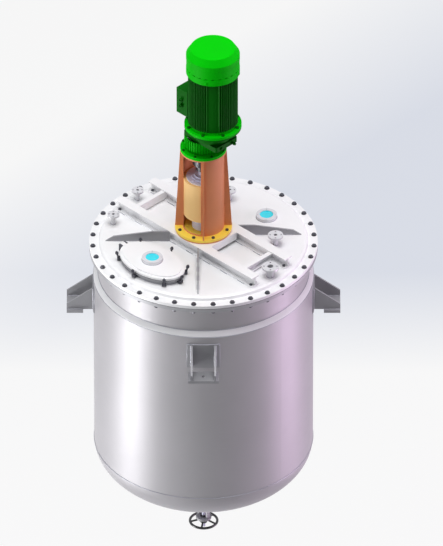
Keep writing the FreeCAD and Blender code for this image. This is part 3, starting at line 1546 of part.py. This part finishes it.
def valve_handwheel():
    """The nut in the bridge and the wheel with its spokes."""
    _, bridge_low = yoke_levels()
    bridge_high = bridge_low + yoke_bridge_thickness
    hub_high = bridge_low - free_gap
    hub_low = hub_high - handwheel_hub_height
    rim_z = hub_low + handwheel_rim_radius
    hub = disc(handwheel_hub_radius, hub_low, hub_high)
    nut = disc(yoke_nut_radius, hub_high, bridge_high + free_gap)
    collar_low = bridge_high + free_gap
    collar = disc(yoke_nut_radius + yoke_collar_reach, collar_low, collar_low + yoke_collar_height)
    ring_radius = handwheel_radius - handwheel_rim_radius
    rim = Part.makeTorus(ring_radius, handwheel_rim_radius, V(0, 0, rim_z), UP)
    spoke_start = V((handwheel_hub_radius + valve_stem_radius) / 2, 0, rim_z + handwheel_dish)
    spoke_end = V(ring_radius, 0, rim_z)
    run = spoke_end.sub(spoke_start)
    spoke = Part.makeCylinder(handwheel_spoke_radius, run.Length, spoke_start, run)
    wheel = hub.fuse([nut, collar, rim] + around(spoke, handwheel_spoke_count, handwheel_first_spoke_angle))
    return [wheel.cut(disc(valve_stem_radius + running_gap, hub_low, bridge_high + handwheel_hub_height))]


def main():
    """Write every node."""
    makers = (
        inner_vessel, vessel_head, vessel_flange, jacket, jacket_head, jacket_closing_cone,
        jacket_nozzles, support_lugs, gaskets, lid, lid_bolts, lid_nozzles, lid_ribs, lid_beams,
        stand_seat, stand_base_flange, stand_tube,
        bearing_housing, bearing_cap, shaft_bearings, shaft_seal, agitator_shaft, shaft_coupling,
        impellers, ring_gear, planet_carrier, sun_shaft, gearbox_lower_case, gearbox_upper_case,
        gearbox_fittings, motor_flange, motor_frame, motor_stator, motor_rotor, motor_fan,
        fan_cowl, terminal_box, manhole_neck, manhole_ears, manhole_cover, outlet_neck, valve_body,
        valve_bolts, valve_yoke, valve_stem, valve_handwheel,
    )
    for make in makers:
        save(make.__name__, make())
    for number in range(planet_count):
        save("planet_gear_" + str(number + 1), planet_gear(number))
    for number, angle in enumerate(manhole_bolt_angles):
        save("swing_bolt_" + str(number + 1), swing_bolt(angle))
    save("lid_sight_ring", sight_ring(lid_sight_x, lid_sight_y, lid_top_z))
    save("lid_sight_glass", sight_glass(lid_sight_x, lid_sight_y, lid_top_z))
    save("cover_sight_ring", sight_ring(0.0, manhole_y, cover_dome_z))
    save("cover_sight_glass", sight_glass(0.0, manhole_y, cover_dome_z))


main()
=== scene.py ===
import json
import math

import bpy
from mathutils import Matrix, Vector


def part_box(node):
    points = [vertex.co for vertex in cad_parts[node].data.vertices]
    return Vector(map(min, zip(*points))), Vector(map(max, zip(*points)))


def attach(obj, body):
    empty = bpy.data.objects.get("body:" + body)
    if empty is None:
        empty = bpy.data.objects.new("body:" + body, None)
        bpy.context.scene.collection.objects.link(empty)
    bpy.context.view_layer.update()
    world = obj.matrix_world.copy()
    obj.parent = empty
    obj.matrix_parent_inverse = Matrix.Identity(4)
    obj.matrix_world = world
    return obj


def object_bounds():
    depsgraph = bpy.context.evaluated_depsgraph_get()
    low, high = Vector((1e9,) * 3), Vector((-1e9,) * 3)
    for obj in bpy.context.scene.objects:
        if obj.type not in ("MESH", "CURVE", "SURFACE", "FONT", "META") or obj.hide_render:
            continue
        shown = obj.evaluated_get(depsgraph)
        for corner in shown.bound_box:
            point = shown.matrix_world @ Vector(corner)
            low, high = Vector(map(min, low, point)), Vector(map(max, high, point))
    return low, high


# A jacketed mixing kettle, in metres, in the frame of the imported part.
# Z points up along the axis of the vessel, and the beams on the lid lie along X.

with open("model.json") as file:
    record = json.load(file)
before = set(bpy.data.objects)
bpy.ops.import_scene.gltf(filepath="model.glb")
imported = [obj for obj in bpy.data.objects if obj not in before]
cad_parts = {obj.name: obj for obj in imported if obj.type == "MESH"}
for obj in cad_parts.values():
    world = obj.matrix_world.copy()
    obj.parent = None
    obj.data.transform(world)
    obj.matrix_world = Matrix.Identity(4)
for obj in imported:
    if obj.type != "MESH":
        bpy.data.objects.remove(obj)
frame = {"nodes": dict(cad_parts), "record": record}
cad_low, cad_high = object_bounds()
nodes = frame["nodes"]

# The photograph's view
camera_azimuth = math.radians(45.0)
camera_elevation = math.radians(35.264)
camera_lens = 1200.0
camera_sensor = 36.0
picture_height = 3.350
aim = Vector((0.0781, 0.0781, 0.2338))

# Stage
floor_drop = 1.6
floor_half = 400.0
floor_glow_share = 0.9
ambient_light = 0.14


def srgb(text):
    """A linear colour with alpha from a hex colour as seen on a screen."""
    channels = []
    for start in (0, 2, 4):
        value = int(text[start:start + 2], 16) / 255
        channels.append(value / 12.92 if value <= 0.04045 else ((value + 0.055) / 1.055) ** 2.4)
    return (*channels, 1.0)


def scaled(colour, factor):
    """A colour made lighter or darker."""
    return (*(min(1.0, channel * factor) for channel in colour[:3]), 1.0)


backdrop_colour = srgb("F3F5FA")
floor_colour = srgb("C4C5CA")
haze_colour = srgb("DFE3ED")
haze_left_edge = (-5.3, -3.8)
haze_front_edge = (3.87, 4.98)
haze_far_edge = (60.0, 10.0)

# Materials
noise_low = 0.3
noise_high = 0.7
peel_scale = 350.0
grain_scale = 90.0


def new_material(name):
    """A material with only its shader and output nodes."""
    material = bpy.data.materials.new(name)
    material.use_nodes = True
    return material, material.node_tree, material.node_tree.nodes["Principled BSDF"]


def noise(tree, scale, detail, stretch=(1.0, 1.0, 1.0)):
    """The value of a noise in object space, stretched along the axes."""
    place = tree.nodes.new("ShaderNodeTexCoord")
    mapping = tree.nodes.new("ShaderNodeMapping")
    mapping.inputs["Scale"].default_value = stretch
    texture = tree.nodes.new("ShaderNodeTexNoise")
    texture.inputs["Scale"].default_value = scale
    texture.inputs["Detail"].default_value = detail
    tree.links.new(place.outputs["Object"], mapping.inputs["Vector"])
    tree.links.new(mapping.outputs["Vector"], texture.inputs["Vector"])
    return texture.outputs["Fac"]


def spread(tree, value, low, high):
    """A noise value taken to a range."""
    span = tree.nodes.new("ShaderNodeMapRange")
    span.inputs["From Min"].default_value = noise_low
    span.inputs["From Max"].default_value = noise_high
    span.inputs["To Min"].default_value = low
    span.inputs["To Max"].default_value = high
    tree.links.new(value, span.inputs["Value"])
    return span.outputs["Result"]


def blend_colours(tree, value, first, second):
    """A colour between two, by a value from 0 to 1."""
    mix = tree.nodes.new("ShaderNodeMix")
    mix.data_type = "RGBA"
    mix.inputs["A"].default_value = first
    mix.inputs["B"].default_value = second
    tree.links.new(value, mix.inputs["Factor"])
    return mix.outputs["Result"]


def bump(tree, shader, value, depth, strength=1.0):
    """Small relief from a value."""
    node = tree.nodes.new("ShaderNodeBump")
    node.inputs["Distance"].default_value = depth
    node.inputs["Strength"].default_value = strength
    tree.links.new(value, node.inputs["Height"])
    tree.links.new(node.outputs["Normal"], shader.inputs["Normal"])


def steel(name, colour, roughness, metallic, stretch=(1.0, 1.0, 1.0), depth=0.0002, change=0.08):
    """Satin steel with a fine grain and slow cloudy changes of tone."""
    material, tree, shader = new_material(name)
    cloud = spread(tree, noise(tree, 2.5, 3.0), 0.0, 1.0)
    grain = noise(tree, grain_scale, 4.0, stretch)
    tone = blend_colours(tree, cloud, scaled(colour, 1.0 - change), scaled(colour, 1.0 + change))
    tree.links.new(tone, shader.inputs["Base Color"])
    tree.links.new(spread(tree, grain, roughness - 0.06, roughness + 0.08), shader.inputs["Roughness"])
    shader.inputs["Metallic"].default_value = metallic
    bump(tree, shader, grain, depth)
    return material


def paint(name, colour, roughness, change, coat=0.0, gloss=0.5):
    """Sprayed paint with a faint orange peel and slow changes of tone."""
    material, tree, shader = new_material(name)
    cloud = spread(tree, noise(tree, 6.0, 4.0), 0.0, 1.0)
    peel = noise(tree, peel_scale, 2.0)
    tone = blend_colours(tree, cloud, scaled(colour, 1.0 - change), scaled(colour, 1.0 + change))
    tree.links.new(tone, shader.inputs["Base Color"])
    tree.links.new(spread(tree, cloud, roughness - 0.05, roughness + 0.05), shader.inputs["Roughness"])
    shader.inputs["Specular IOR Level"].default_value = gloss
    shader.inputs["Coat Weight"].default_value = coat
    shader.inputs["Coat Roughness"].default_value = 0.15
    bump(tree, shader, peel, 0.0002, 0.6)
    return material


def tinted_glass():
    """Cyan sight glass, which looks nearly solid against the dark vessel."""
    material, tree, shader = new_material("sight_glass")
    cloud = spread(tree, noise(tree, 9.0, 2.0), 0.0, 1.0)
    tone = blend_colours(tree, cloud, srgb("0CDCF0"), srgb("14E6F8"))
    tree.links.new(tone, shader.inputs["Base Color"])
    shader.inputs["Roughness"].default_value = 0.06
    shader.inputs["Transmission Weight"].default_value = 0.05
    shader.inputs["IOR"].default_value = 1.5
    shader.inputs["Coat Weight"].default_value = 0.3
    bump(tree, shader, cloud, 0.0005, 0.2)
    return material


def rubber():
    """Dark gasket rubber."""
    material, tree, shader = new_material("gasket_rubber")
    grain = noise(tree, 400.0, 3.0)
    tone = blend_colours(tree, grain, srgb("202020"), srgb("343434"))
    tree.links.new(tone, shader.inputs["Base Color"])
    shader.inputs["Roughness"].default_value = 0.8
    bump(tree, shader, grain, 0.0003)
    return material


def winding():
    """Varnished coils between dark laminations."""
    material, tree, shader = new_material("winding")
    layers = noise(tree, 60.0, 1.0, (1.0, 1.0, 8.0))
    tone = blend_colours(tree, layers, srgb("A85A28"), srgb("5A3018"))
    tree.links.new(tone, shader.inputs["Base Color"])
    shader.inputs["Roughness"].default_value = 0.35
    bump(tree, shader, layers, 0.0006)
    return material


round_grain = (0.15, 0.15, 6.0)
finishes = {
    "jacket_steel": steel("jacket_steel", srgb("A8A6AA"), roughness=0.48, metallic=0.3, stretch=round_grain,
                          depth=0.0001, change=0.03),
    "vessel_steel": steel("vessel_steel", srgb("9C9CA0"), roughness=0.5, metallic=0.4, stretch=round_grain),
    "lid_steel": steel("lid_steel", srgb("F0F0F2"), roughness=0.5, metallic=0.1, depth=0.0001, change=0.03),
    "nozzle_steel": steel("nozzle_steel", srgb("D8D8DC"), roughness=0.4, metallic=0.3),
    "bracket_steel": steel("bracket_steel", srgb("96969A"), roughness=0.5, metallic=0.2),
    "fastener_steel": steel("fastener_steel", srgb("4A4A52"), roughness=0.35, metallic=0.4),
    "bright_steel": steel("bright_steel", srgb("DCDCF0"), roughness=0.4, metallic=0.1),
    "gear_steel": steel("gear_steel", srgb("8A8A90"), roughness=0.3, metallic=0.9),
    "dark_steel": steel("dark_steel", srgb("24242A"), roughness=0.35, metallic=0.4),
    "weld": steel("weld", srgb("9C9CA4"), roughness=0.38, metallic=0.6, depth=0.0004, change=0.15),
    "wheel_iron": paint("wheel_iron", srgb("1A1A1A"), roughness=0.3, change=0.1, coat=0.3),
    "stand_paint": paint("stand_paint", srgb("DA8E60"), roughness=0.6, change=0.04, gloss=0.3),
    "barrel_paint": paint("barrel_paint", srgb("F8CC88"), roughness=0.6, change=0.03, gloss=0.3),
    "flange_paint": paint("flange_paint", srgb("FFDC50"), roughness=0.5, change=0.04, coat=0.05),
    "drive_paint": paint("drive_paint", srgb("00C004"), roughness=0.6, change=0.05, gloss=0.05),
    # A darker copy of the drive's green paint. It paints the shade on the finned motor frame, the gearbox's
    # upper case, its fittings and the terminal box, which have the same green as the drive.
    "shaded_drive_paint": paint("shaded_drive_paint", srgb("035E06"), roughness=0.6, change=0.06, gloss=0.05),
    "fan_plastic": paint("fan_plastic", srgb("202020"), roughness=0.5, change=0.1),
    "gasket": rubber(),
    "sight_glass": tinted_glass(),
    "winding": winding(),
}
nodes_of_finish = {
    "jacket_steel": ("inner_vessel", "jacket", "jacket_head", "jacket_nozzles"),
    "vessel_steel": ("vessel_head", "vessel_flange", "outlet_neck", "valve_body", "valve_yoke", "impellers"),
    "lid_steel": ("lid", "lid_beams", "jacket_closing_cone", "manhole_cover"),
    "nozzle_steel": ("lid_nozzles", "lid_sight_ring", "cover_sight_ring"),
    "bracket_steel": ("support_lugs", "lid_ribs", "manhole_neck"),
    "fastener_steel": ("lid_bolts", "manhole_ears", "valve_bolts"),
    "bright_steel": ("bearing_cap", "shaft_seal", "agitator_shaft", "valve_stem"),
    "gear_steel": ("shaft_bearings", "ring_gear", "planet_carrier", "sun_shaft", "motor_rotor"),
    "dark_steel": ("shaft_coupling",),
    "wheel_iron": ("valve_handwheel",),
    "stand_paint": ("stand_seat", "stand_tube"),
    "barrel_paint": ("bearing_housing",),
    "flange_paint": ("stand_base_flange",),
    "drive_paint": ("gearbox_lower_case", "motor_flange", "fan_cowl"),
    # These parts take the darker copy of the drive paint, as painted shade.
    "shaded_drive_paint": ("gearbox_upper_case", "gearbox_fittings", "motor_frame", "terminal_box"),
    "fan_plastic": ("motor_fan",),
    "gasket": ("gaskets",),
    "sight_glass": ("lid_sight_glass", "cover_sight_glass"),
    "winding": ("motor_stator",),
}
finish_of = {node: finish for finish, members in nodes_of_finish.items() for node in members}
finish_of.update({f"planet_gear_{number}": "gear_steel" for number in range(1, 4)})
finish_of.update({f"swing_bolt_{number}": "fastener_steel" for number in range(1, 8)})

for name, node in nodes.items():
    for index in range(max(1, len(node.material_slots))):
        if not node.material_slots:
            node.data.materials.append(None)
        node.material_slots[index].material = finishes[finish_of[name]]


# Pieces that the solids leave out: weld beads, washers and the raised faces of the bolt heads
bead_sides = 8
bead_step = 0.004
bead_ripple = 0.14
bead_turn = math.radians(120.0)
bead_upright = 0.1
large_bead = 0.003
small_bead = 0.0025
jacket_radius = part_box("jacket")[1].x
shell_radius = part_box("inner_vessel")[1].x
jacket_tangent = -0.987
jacket_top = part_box("jacket_closing_cone")[0].z
cone_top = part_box("jacket_closing_cone")[1].z
lid_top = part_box("lid")[1].z
lid_flange_top = 0.478
lid_bolt_count = 36
lid_bolt_circle = 0.680
lid_bolt_head = 0.010
washer_sides = 24
washer_radius = 0.0165
washer_hole = 0.0085
washer_thickness = 0.0025
crown_radius = 0.0105
crown_hole = 0.001
crown_rise = 0.0008
upright_seam_angle = math.radians(200.0)
quarter_angles = (45, 135, 225, 315)
lug_pad_half = 0.099
lug_pad_low = 0.005
lug_pad_high = 0.175
lug_pad_thickness = 0.008
lug_bead_lift = 0.001
lug_plate_top = 0.018
lug_gusset_top = 0.170
lug_bead_ends = (0.745, 0.838)
lug_gusset_sides = (-0.078, -0.066, 0.066, 0.078)
stand_neck_radius = 0.083
nozzle_flange_thickness = 0.012
stub_radius = {"nozzle_front_left": 0.0125, "nozzle_left": 0.0125, "nozzle_rear": 0.0125,
               "nozzle_right_rear": 0.014, "nozzle_right": 0.022}
manhole_middle_y = -0.442
manhole_long_half = 0.238
manhole_short_half = 0.150
manhole_neck_inset = 0.012
manhole_flange_low = 0.524
rib_root = 0.047
rib_bead_end = 0.560
rib_half = 0.005
beam_outer_edge = 0.1725
rib_bead_gap = 0.004
rib_stitch = 0.050
rib_stitch_pitch = 0.095
beam_middle_y = 0.142
beam_foot_half = 0.0305
beam_bead_start = -0.570
beam_bead_end = 0.580
beam_stitch = 0.060
beam_stitch_pitch = 0.148
outlet_neck_radius = 0.046
outlet_flange_top = -1.372


def new_piece(name, vertices, faces, body, finish, smooth=True):
    """A mesh piece that rides on a body."""
    mesh = bpy.data.meshes.new(name)
    mesh.from_pydata(vertices, [], faces)
    mesh.update()
    if smooth:
        mesh.shade_smooth()
    mesh.materials.append(finishes[finish])
    piece = bpy.data.objects.new(name, mesh)
    bpy.context.scene.collection.objects.link(piece)
    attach(piece, body)


def bead(points, radius, closed, vertices, faces):
    """Add one rippled round bead along a path to the vertices and faces."""
    count = len(points)
    first = len(vertices)
    for index, point in enumerate(points):
        before = points[index - 1] if closed or index > 0 else point
        after = points[(index + 1) % count] if closed or index < count - 1 else point
        along = (after - before).normalized()
        side = along.cross(Vector((0, 0, 1)))
        if side.length < bead_upright:
            side = along.cross(Vector((1, 0, 0)))
        side.normalize()
        up = side.cross(along)
        swell = radius * (1.0 + bead_ripple * math.sin(index * bead_turn))
        for corner in range(bead_sides):
            angle = 2 * math.pi * corner / bead_sides
            vertices.append(point + side * (swell * math.cos(angle)) + up * (swell * math.sin(angle)))
    rings = count if closed else count - 1
    for index in range(rings):
        near = first + index * bead_sides
        far = first + (index + 1) % count * bead_sides
        for corner in range(bead_sides):
            other = (corner + 1) % bead_sides
            faces.append((near + corner, near + other, far + other, far + corner))
    if not closed:
        faces.append(tuple(first + corner for corner in reversed(range(bead_sides))))
        faces.append(tuple(first + (count - 1) * bead_sides + corner for corner in range(bead_sides)))


def circle(radius, z, x=0.0, y=0.0):
    """Points of a level circle, a bead step apart."""
    count = max(24, round(2 * math.pi * radius / bead_step))
    angles = [2 * math.pi * step / count for step in range(count)]
    return [Vector((x + radius * math.cos(angle), y + radius * math.sin(angle), z)) for angle in angles]


def straight(start, end):
    """Points of a straight line, a bead step apart."""
    start, end = Vector(start), Vector(end)
    count = max(2, round((end - start).length / bead_step))
    return [start.lerp(end, step / count) for step in range(count + 1)]


def beads(name, paths, radius, closed, body, finish):
    """One piece of weld beads along several paths."""
    vertices, faces = [], []
    for points in paths:
        bead(points, radius, closed, vertices, faces)
    new_piece(name, vertices, faces, body, finish)


def shell_welds():
    """The seams of the jacket, the cone and the shell."""
    round_seams = [circle(jacket_radius, jacket_tangent), circle(jacket_radius, jacket_top),
                   circle(shell_radius, cone_top), circle(shell_radius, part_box("vessel_flange")[0].z)]
    beads("shell_seams", round_seams, large_bead, True, "kettle", "weld")
    seam = upright_seam_angle
    foot = Vector((jacket_radius * math.cos(seam), jacket_radius * math.sin(seam), jacket_tangent))
    upright = [straight(foot, (foot.x, foot.y, jacket_top))]
    beads("jacket_upright_seam", upright, large_bead, False, "kettle", "weld")


def lug_point(angle, radius, across, z):
    """A point in the frame of a lug, at a radius and a distance to its side."""
    turn = math.radians(angle)
    out = math.sqrt(radius ** 2 - across ** 2)
    x = out * math.cos(turn) - across * math.sin(turn)
    y = out * math.sin(turn) + across * math.cos(turn)
    return Vector((x, y, z))


def lug_welds():
    """Beads round the pads of the lugs and along their gussets."""
    paths = []
    half, low, high = lug_pad_half, lug_pad_low, lug_pad_high
    pad_radius = jacket_radius + lug_pad_thickness
    bead_radius = jacket_radius + lug_bead_lift
    steps = round(2 * half / bead_step)
    across = [half * (2 * step / steps - 1) for step in range(steps + 1)]
    levels = (low, low + 0.5 * (high - low), high)
    for angle in quarter_angles:
        for side in (-half, half):
            paths.append([lug_point(angle, bead_radius, side, z) for z in levels])
        for z in (low, high):
            paths.append([lug_point(angle, bead_radius, value, z) for value in across])
        for gusset in lug_gusset_sides:
            top = lug_point(angle, pad_radius, gusset, lug_gusset_top)
            paths.append(straight(lug_point(angle, pad_radius, gusset, lug_plate_top), top))
            near, far = (lug_point(angle, radius, gusset, lug_plate_top) for radius in lug_bead_ends)
            paths.append(straight(near, far))
    beads("lug_welds", paths, large_bead, False, "kettle", "weld")


def lid_welds():
    """Beads where the agitator's neck and the pipe nozzles meet the lid, and under the nozzles' flanges."""
    paths = [circle(stand_neck_radius, lid_top)]
    for mount in frame["record"]["mounts"]:
        if mount["name"].startswith("nozzle_"):
            x, y, top = mount["pos_m"]
            pipe = stub_radius[mount["name"]]
            paths += [circle(pipe, lid_top, x, y), circle(pipe, top - nozzle_flange_thickness, x, y)]
    beads("lid_welds", paths, small_bead, True, "kettle", "weld")


def flat_ring(outer, inner, low, high, x, y, vertices, faces):
    """Add one flat ring to the vertices and faces."""
    sides = washer_sides
    first = len(vertices)
    for radius, z in ((outer, low), (outer, high), (inner, high), (inner, low)):
        for step in range(sides):
            angle = 2 * math.pi * step / sides
            vertices.append(Vector((x + radius * math.cos(angle), y + radius * math.sin(angle), z)))
    for band in range(4):
        for step in range(sides):
            near = first + band * sides
            far = first + (band + 1) % 4 * sides
            other = (step + 1) % sides
            faces.append((near + step, near + other, far + other, far + step))


def lid_bolt_places():
    """The centre of each bolt of the lid's flange."""
    angles = [2 * math.pi * number / lid_bolt_count for number in range(lid_bolt_count)]
    return [(lid_bolt_circle * math.cos(angle), lid_bolt_circle * math.sin(angle)) for angle in angles]


def lid_washers():
    """A washer under the head of each lid bolt and over each nut."""
    vertices, faces = [], []
    flange_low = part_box("vessel_flange")[0].z
    for x, y in lid_bolt_places():
        for low in (lid_flange_top, flange_low - washer_thickness):
            flat_ring(washer_radius, washer_hole, low, low + washer_thickness, x, y, vertices, faces)
    new_piece("lid_washers", vertices, faces, "kettle", "fastener_steel", False)


def oval(inset, z):
    """Points of the manhole's oval, drawn in from its rim."""
    long_half, short_half = manhole_long_half - inset, manhole_short_half - inset
    count = round(2 * math.pi * (long_half + short_half) / 2 / bead_step)
    angles = [2 * math.pi * step / count for step in range(count)]
    points = []
    for angle in angles:
        y = manhole_middle_y + short_half * math.sin(angle)
        points.append(Vector((long_half * math.cos(angle), y, z)))
    return points


def manhole_welds():
    """Beads at the foot and under the flange of the manhole neck, and round the sight rings."""
    paths = [oval(manhole_neck_inset, lid_top), oval(manhole_neck_inset, manhole_flange_low)]
    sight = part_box("lid_sight_ring")
    middle = (sight[0] + sight[1]) / 2
    paths.append(circle((sight[1].x - sight[0].x) / 2, sight[0].z, middle.x, middle.y))
    beads("manhole_welds", paths, small_bead, True, "kettle", "weld")
    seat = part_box("cover_sight_ring")
    middle = (seat[0] + seat[1]) / 2
    path = [circle((seat[1].x - seat[0].x) / 2, seat[0].z, middle.x, middle.y)]
    beads("cover_weld", path, small_bead, True, "manhole_lid", "weld")


def rib_welds():
    """Stitched beads at both sides of each rib's foot."""
    paths = []
    clear = beam_outer_edge + rib_bead_gap
    for angle in quarter_angles:
        turn = math.radians(angle)
        along = Vector((math.cos(turn), math.sin(turn), 0))
        across = Vector((-math.sin(turn), math.cos(turn), 0))
        start = Vector((0, rib_root if angle < 180 else -rib_root, lid_top))
        at = (clear - rib_root) / abs(along.y)
        while at + rib_stitch < rib_bead_end:
            for side in (-rib_half, rib_half):
                first = start + along * at + across * side
                paths.append(straight(first, first + along * rib_stitch))
            at += rib_stitch_pitch
    beads("rib_welds", paths, small_bead, False, "kettle", "weld")


def beam_welds():
    """Stitched beads at both sides of each beam's foot."""
    paths = []
    for side in (-1, 1):
        for edge in (-beam_foot_half, beam_foot_half):
            y = side * beam_middle_y + edge
            x = beam_bead_start
            while x + beam_stitch < beam_bead_end:
                paths.append(straight((x, y, lid_top), (x + beam_stitch, y, lid_top)))
                x += beam_stitch_pitch
    beads("beam_welds", paths, small_bead, False, "kettle", "weld")


def outlet_welds():
    """Beads where the outlet neck meets the jacket's bottom head and its own flange."""
    neck = outlet_neck_radius
    depth = jacket_radius / 2
    head = jacket_tangent - depth * math.sqrt(1 - (neck / jacket_radius) ** 2)
    paths = [circle(neck, head), circle(neck, outlet_flange_top)]
    beads("outlet_welds", paths, large_bead, True, "kettle", "weld")


def head_crowns():
    """The round raised face on the head of each lid bolt."""
    vertices, faces = [], []
    top = lid_flange_top + lid_bolt_head
    for x, y in lid_bolt_places():
        flat_ring(crown_radius, crown_hole, top - crown_rise, top + crown_rise, x, y, vertices, faces)
    new_piece("lid_bolt_crowns", vertices, faces, "kettle", "fastener_steel", False)


shell_welds()
lug_welds()
lid_welds()
lid_washers()
head_crowns()
manhole_welds()
rib_welds()
beam_welds()
outlet_welds()


# Stage, light and camera
low_aim = (0, 0, -0.4)
drive_aim = (0, 0, 1.0)
pale_violet = (1.0, 0.72, 1.0)
faint_violet = (1.0, 0.75, 1.0)


def area_light(name, place, target, size, power, colour=(1.0, 1.0, 1.0)):
    """A square soft light aimed at a point."""
    data = bpy.data.lights.new(name, "AREA")
    data.size = size
    data.energy = power
    data.color = colour
    lamp = bpy.data.objects.new(name, data)
    bpy.context.scene.collection.objects.link(lamp)
    lamp.location = place
    lamp.rotation_euler = (Vector(target) - Vector(place)).to_track_quat("-Z", "Y").to_euler()


def seen_directly(tree, share):
    """A share for rays from the camera, from gloss and through glass, and zero for all other light."""
    path = tree.nodes.new("ShaderNodeLightPath")
    seen = path.outputs["Is Camera Ray"]
    for kind in ("Is Glossy Ray", "Is Transmission Ray"):
        larger = tree.nodes.new("ShaderNodeMath")
        larger.operation = "MAXIMUM"
        tree.links.new(seen, larger.inputs[0])
        tree.links.new(path.outputs[kind], larger.inputs[1])
        seen = larger.outputs["Value"]
    part = tree.nodes.new("ShaderNodeMath")
    part.operation = "MULTIPLY"
    part.inputs[1].default_value = share
    tree.links.new(seen, part.inputs[0])
    return part.outputs["Value"]


def build_world():
    """Even light from all round, and a pale backdrop for camera, gloss and glass."""
    world = bpy.data.worlds.new("studio")
    bpy.context.scene.world = world
    world.use_nodes = True
    tree = world.node_tree
    ambient = tree.nodes["Background"]
    ambient.inputs["Color"].default_value = srgb("FFFFFF")
    ambient.inputs["Strength"].default_value = ambient_light
    backdrop = tree.nodes.new("ShaderNodeBackground")
    backdrop.inputs["Color"].default_value = backdrop_colour
    backdrop.inputs["Strength"].default_value = 1.0
    mix = tree.nodes.new("ShaderNodeMixShader")
    tree.links.new(seen_directly(tree, 1.0), mix.inputs[0])
    tree.links.new(ambient.outputs["Background"], mix.inputs[1])
    tree.links.new(backdrop.outputs["Background"], mix.inputs[2])
    tree.links.new(mix.outputs["Shader"], tree.nodes["World Output"].inputs["Surface"])


def fade(tree, value, edge):
    """A value taken from 0 at one end of an edge to 1 at the other."""
    span = tree.nodes.new("ShaderNodeMapRange")
    span.inputs["From Min"].default_value, span.inputs["From Max"].default_value = edge
    tree.links.new(value, span.inputs["Value"])
    return span.outputs["Result"]


def distance_along(tree, direction):
    """How far a point of the floor lies along a direction."""
    place = tree.nodes.new("ShaderNodeTexCoord")
    product = tree.nodes.new("ShaderNodeVectorMath")
    product.operation = "DOT_PRODUCT"
    product.inputs[1].default_value = direction
    tree.links.new(place.outputs["Object"], product.inputs[0])
    return product.outputs["Value"]


def floor_glow(tree):
    """White, with a pale blue haze over the floor's rear right part."""
    rearward = distance_along(tree, (-math.sqrt(0.5), math.sqrt(0.5), 0.0))
    haze = fade(tree, distance_along(tree, (1.0, 0.0, 0.0)), haze_left_edge)
    for edge in (haze_front_edge, haze_far_edge):
        product = tree.nodes.new("ShaderNodeMath")
        product.operation = "MULTIPLY"
        tree.links.new(haze, product.inputs[0])
        tree.links.new(fade(tree, rearward, edge), product.inputs[1])
        haze = product.outputs["Value"]
    return blend_colours(tree, haze, srgb("FFFFFF"), haze_colour)


def build_floor():
    """A plain pale floor below the kettle, which hangs by its lugs."""
    low = cad_low.z - floor_drop
    mesh = bpy.data.meshes.new("floor")
    corners = [(x * floor_half, y * floor_half, low) for x, y in ((-1, -1), (1, -1), (1, 1), (-1, 1))]
    mesh.from_pydata(corners, [], [(0, 1, 2, 3)])
    floor = bpy.data.objects.new("floor", mesh)
    bpy.context.scene.collection.objects.link(floor)
    material, tree, shader = new_material("floor")
    shader.inputs["Base Color"].default_value = floor_colour
    shader.inputs["Roughness"].default_value = 0.9
    glow = tree.nodes.new("ShaderNodeEmission")
    tree.links.new(floor_glow(tree), glow.inputs["Color"])
    mix = tree.nodes.new("ShaderNodeMixShader")
    tree.links.new(seen_directly(tree, floor_glow_share), mix.inputs[0])
    tree.links.new(shader.outputs["BSDF"], mix.inputs[1])
    tree.links.new(glow.outputs["Emission"], mix.inputs[2])
    tree.links.new(mix.outputs["Shader"], tree.nodes["Material Output"].inputs["Surface"])
    mesh.materials.append(material)


def build_camera():
    """The photograph's isometric view, taken from far away so that parallel lines stay parallel."""
    data = bpy.data.cameras.new("camera")
    data.lens = camera_lens
    data.sensor_width = camera_sensor
    distance = picture_height * camera_lens / camera_sensor
    level = math.cos(camera_elevation)
    x, y = math.sin(camera_azimuth) * level, -math.cos(camera_azimuth) * level
    back = Vector((x, y, math.sin(camera_elevation)))
    camera = bpy.data.objects.new("camera", data)
    bpy.context.scene.collection.objects.link(camera)
    camera.location = aim + back * distance
    camera.rotation_euler = (-back).to_track_quat("-Z", "Y").to_euler()
    data.clip_start = distance / 10
    data.clip_end = distance * 10
    bpy.context.scene.camera = camera


build_world()
build_floor()
area_light("top_light", (0.5, -0.5, 8.5), (0, 0, 0), 6.0, 640.0)
area_light("left_light", (-2.18, -4.28, -2.9), low_aim, 1.8, 280.0)
area_light("right_light", (3.51, 3.27, -2.9), low_aim, 2.2, 130.0, pale_violet)
area_light("left_fill", (-2.27, -4.45, 1.6), drive_aim, 1.8, 75.0)
area_light("right_fill", (3.66, 3.41, 1.6), drive_aim, 2.2, 85.0, faint_violet)
build_camera()
bpy.context.scene.view_settings.view_transform = "Standard"
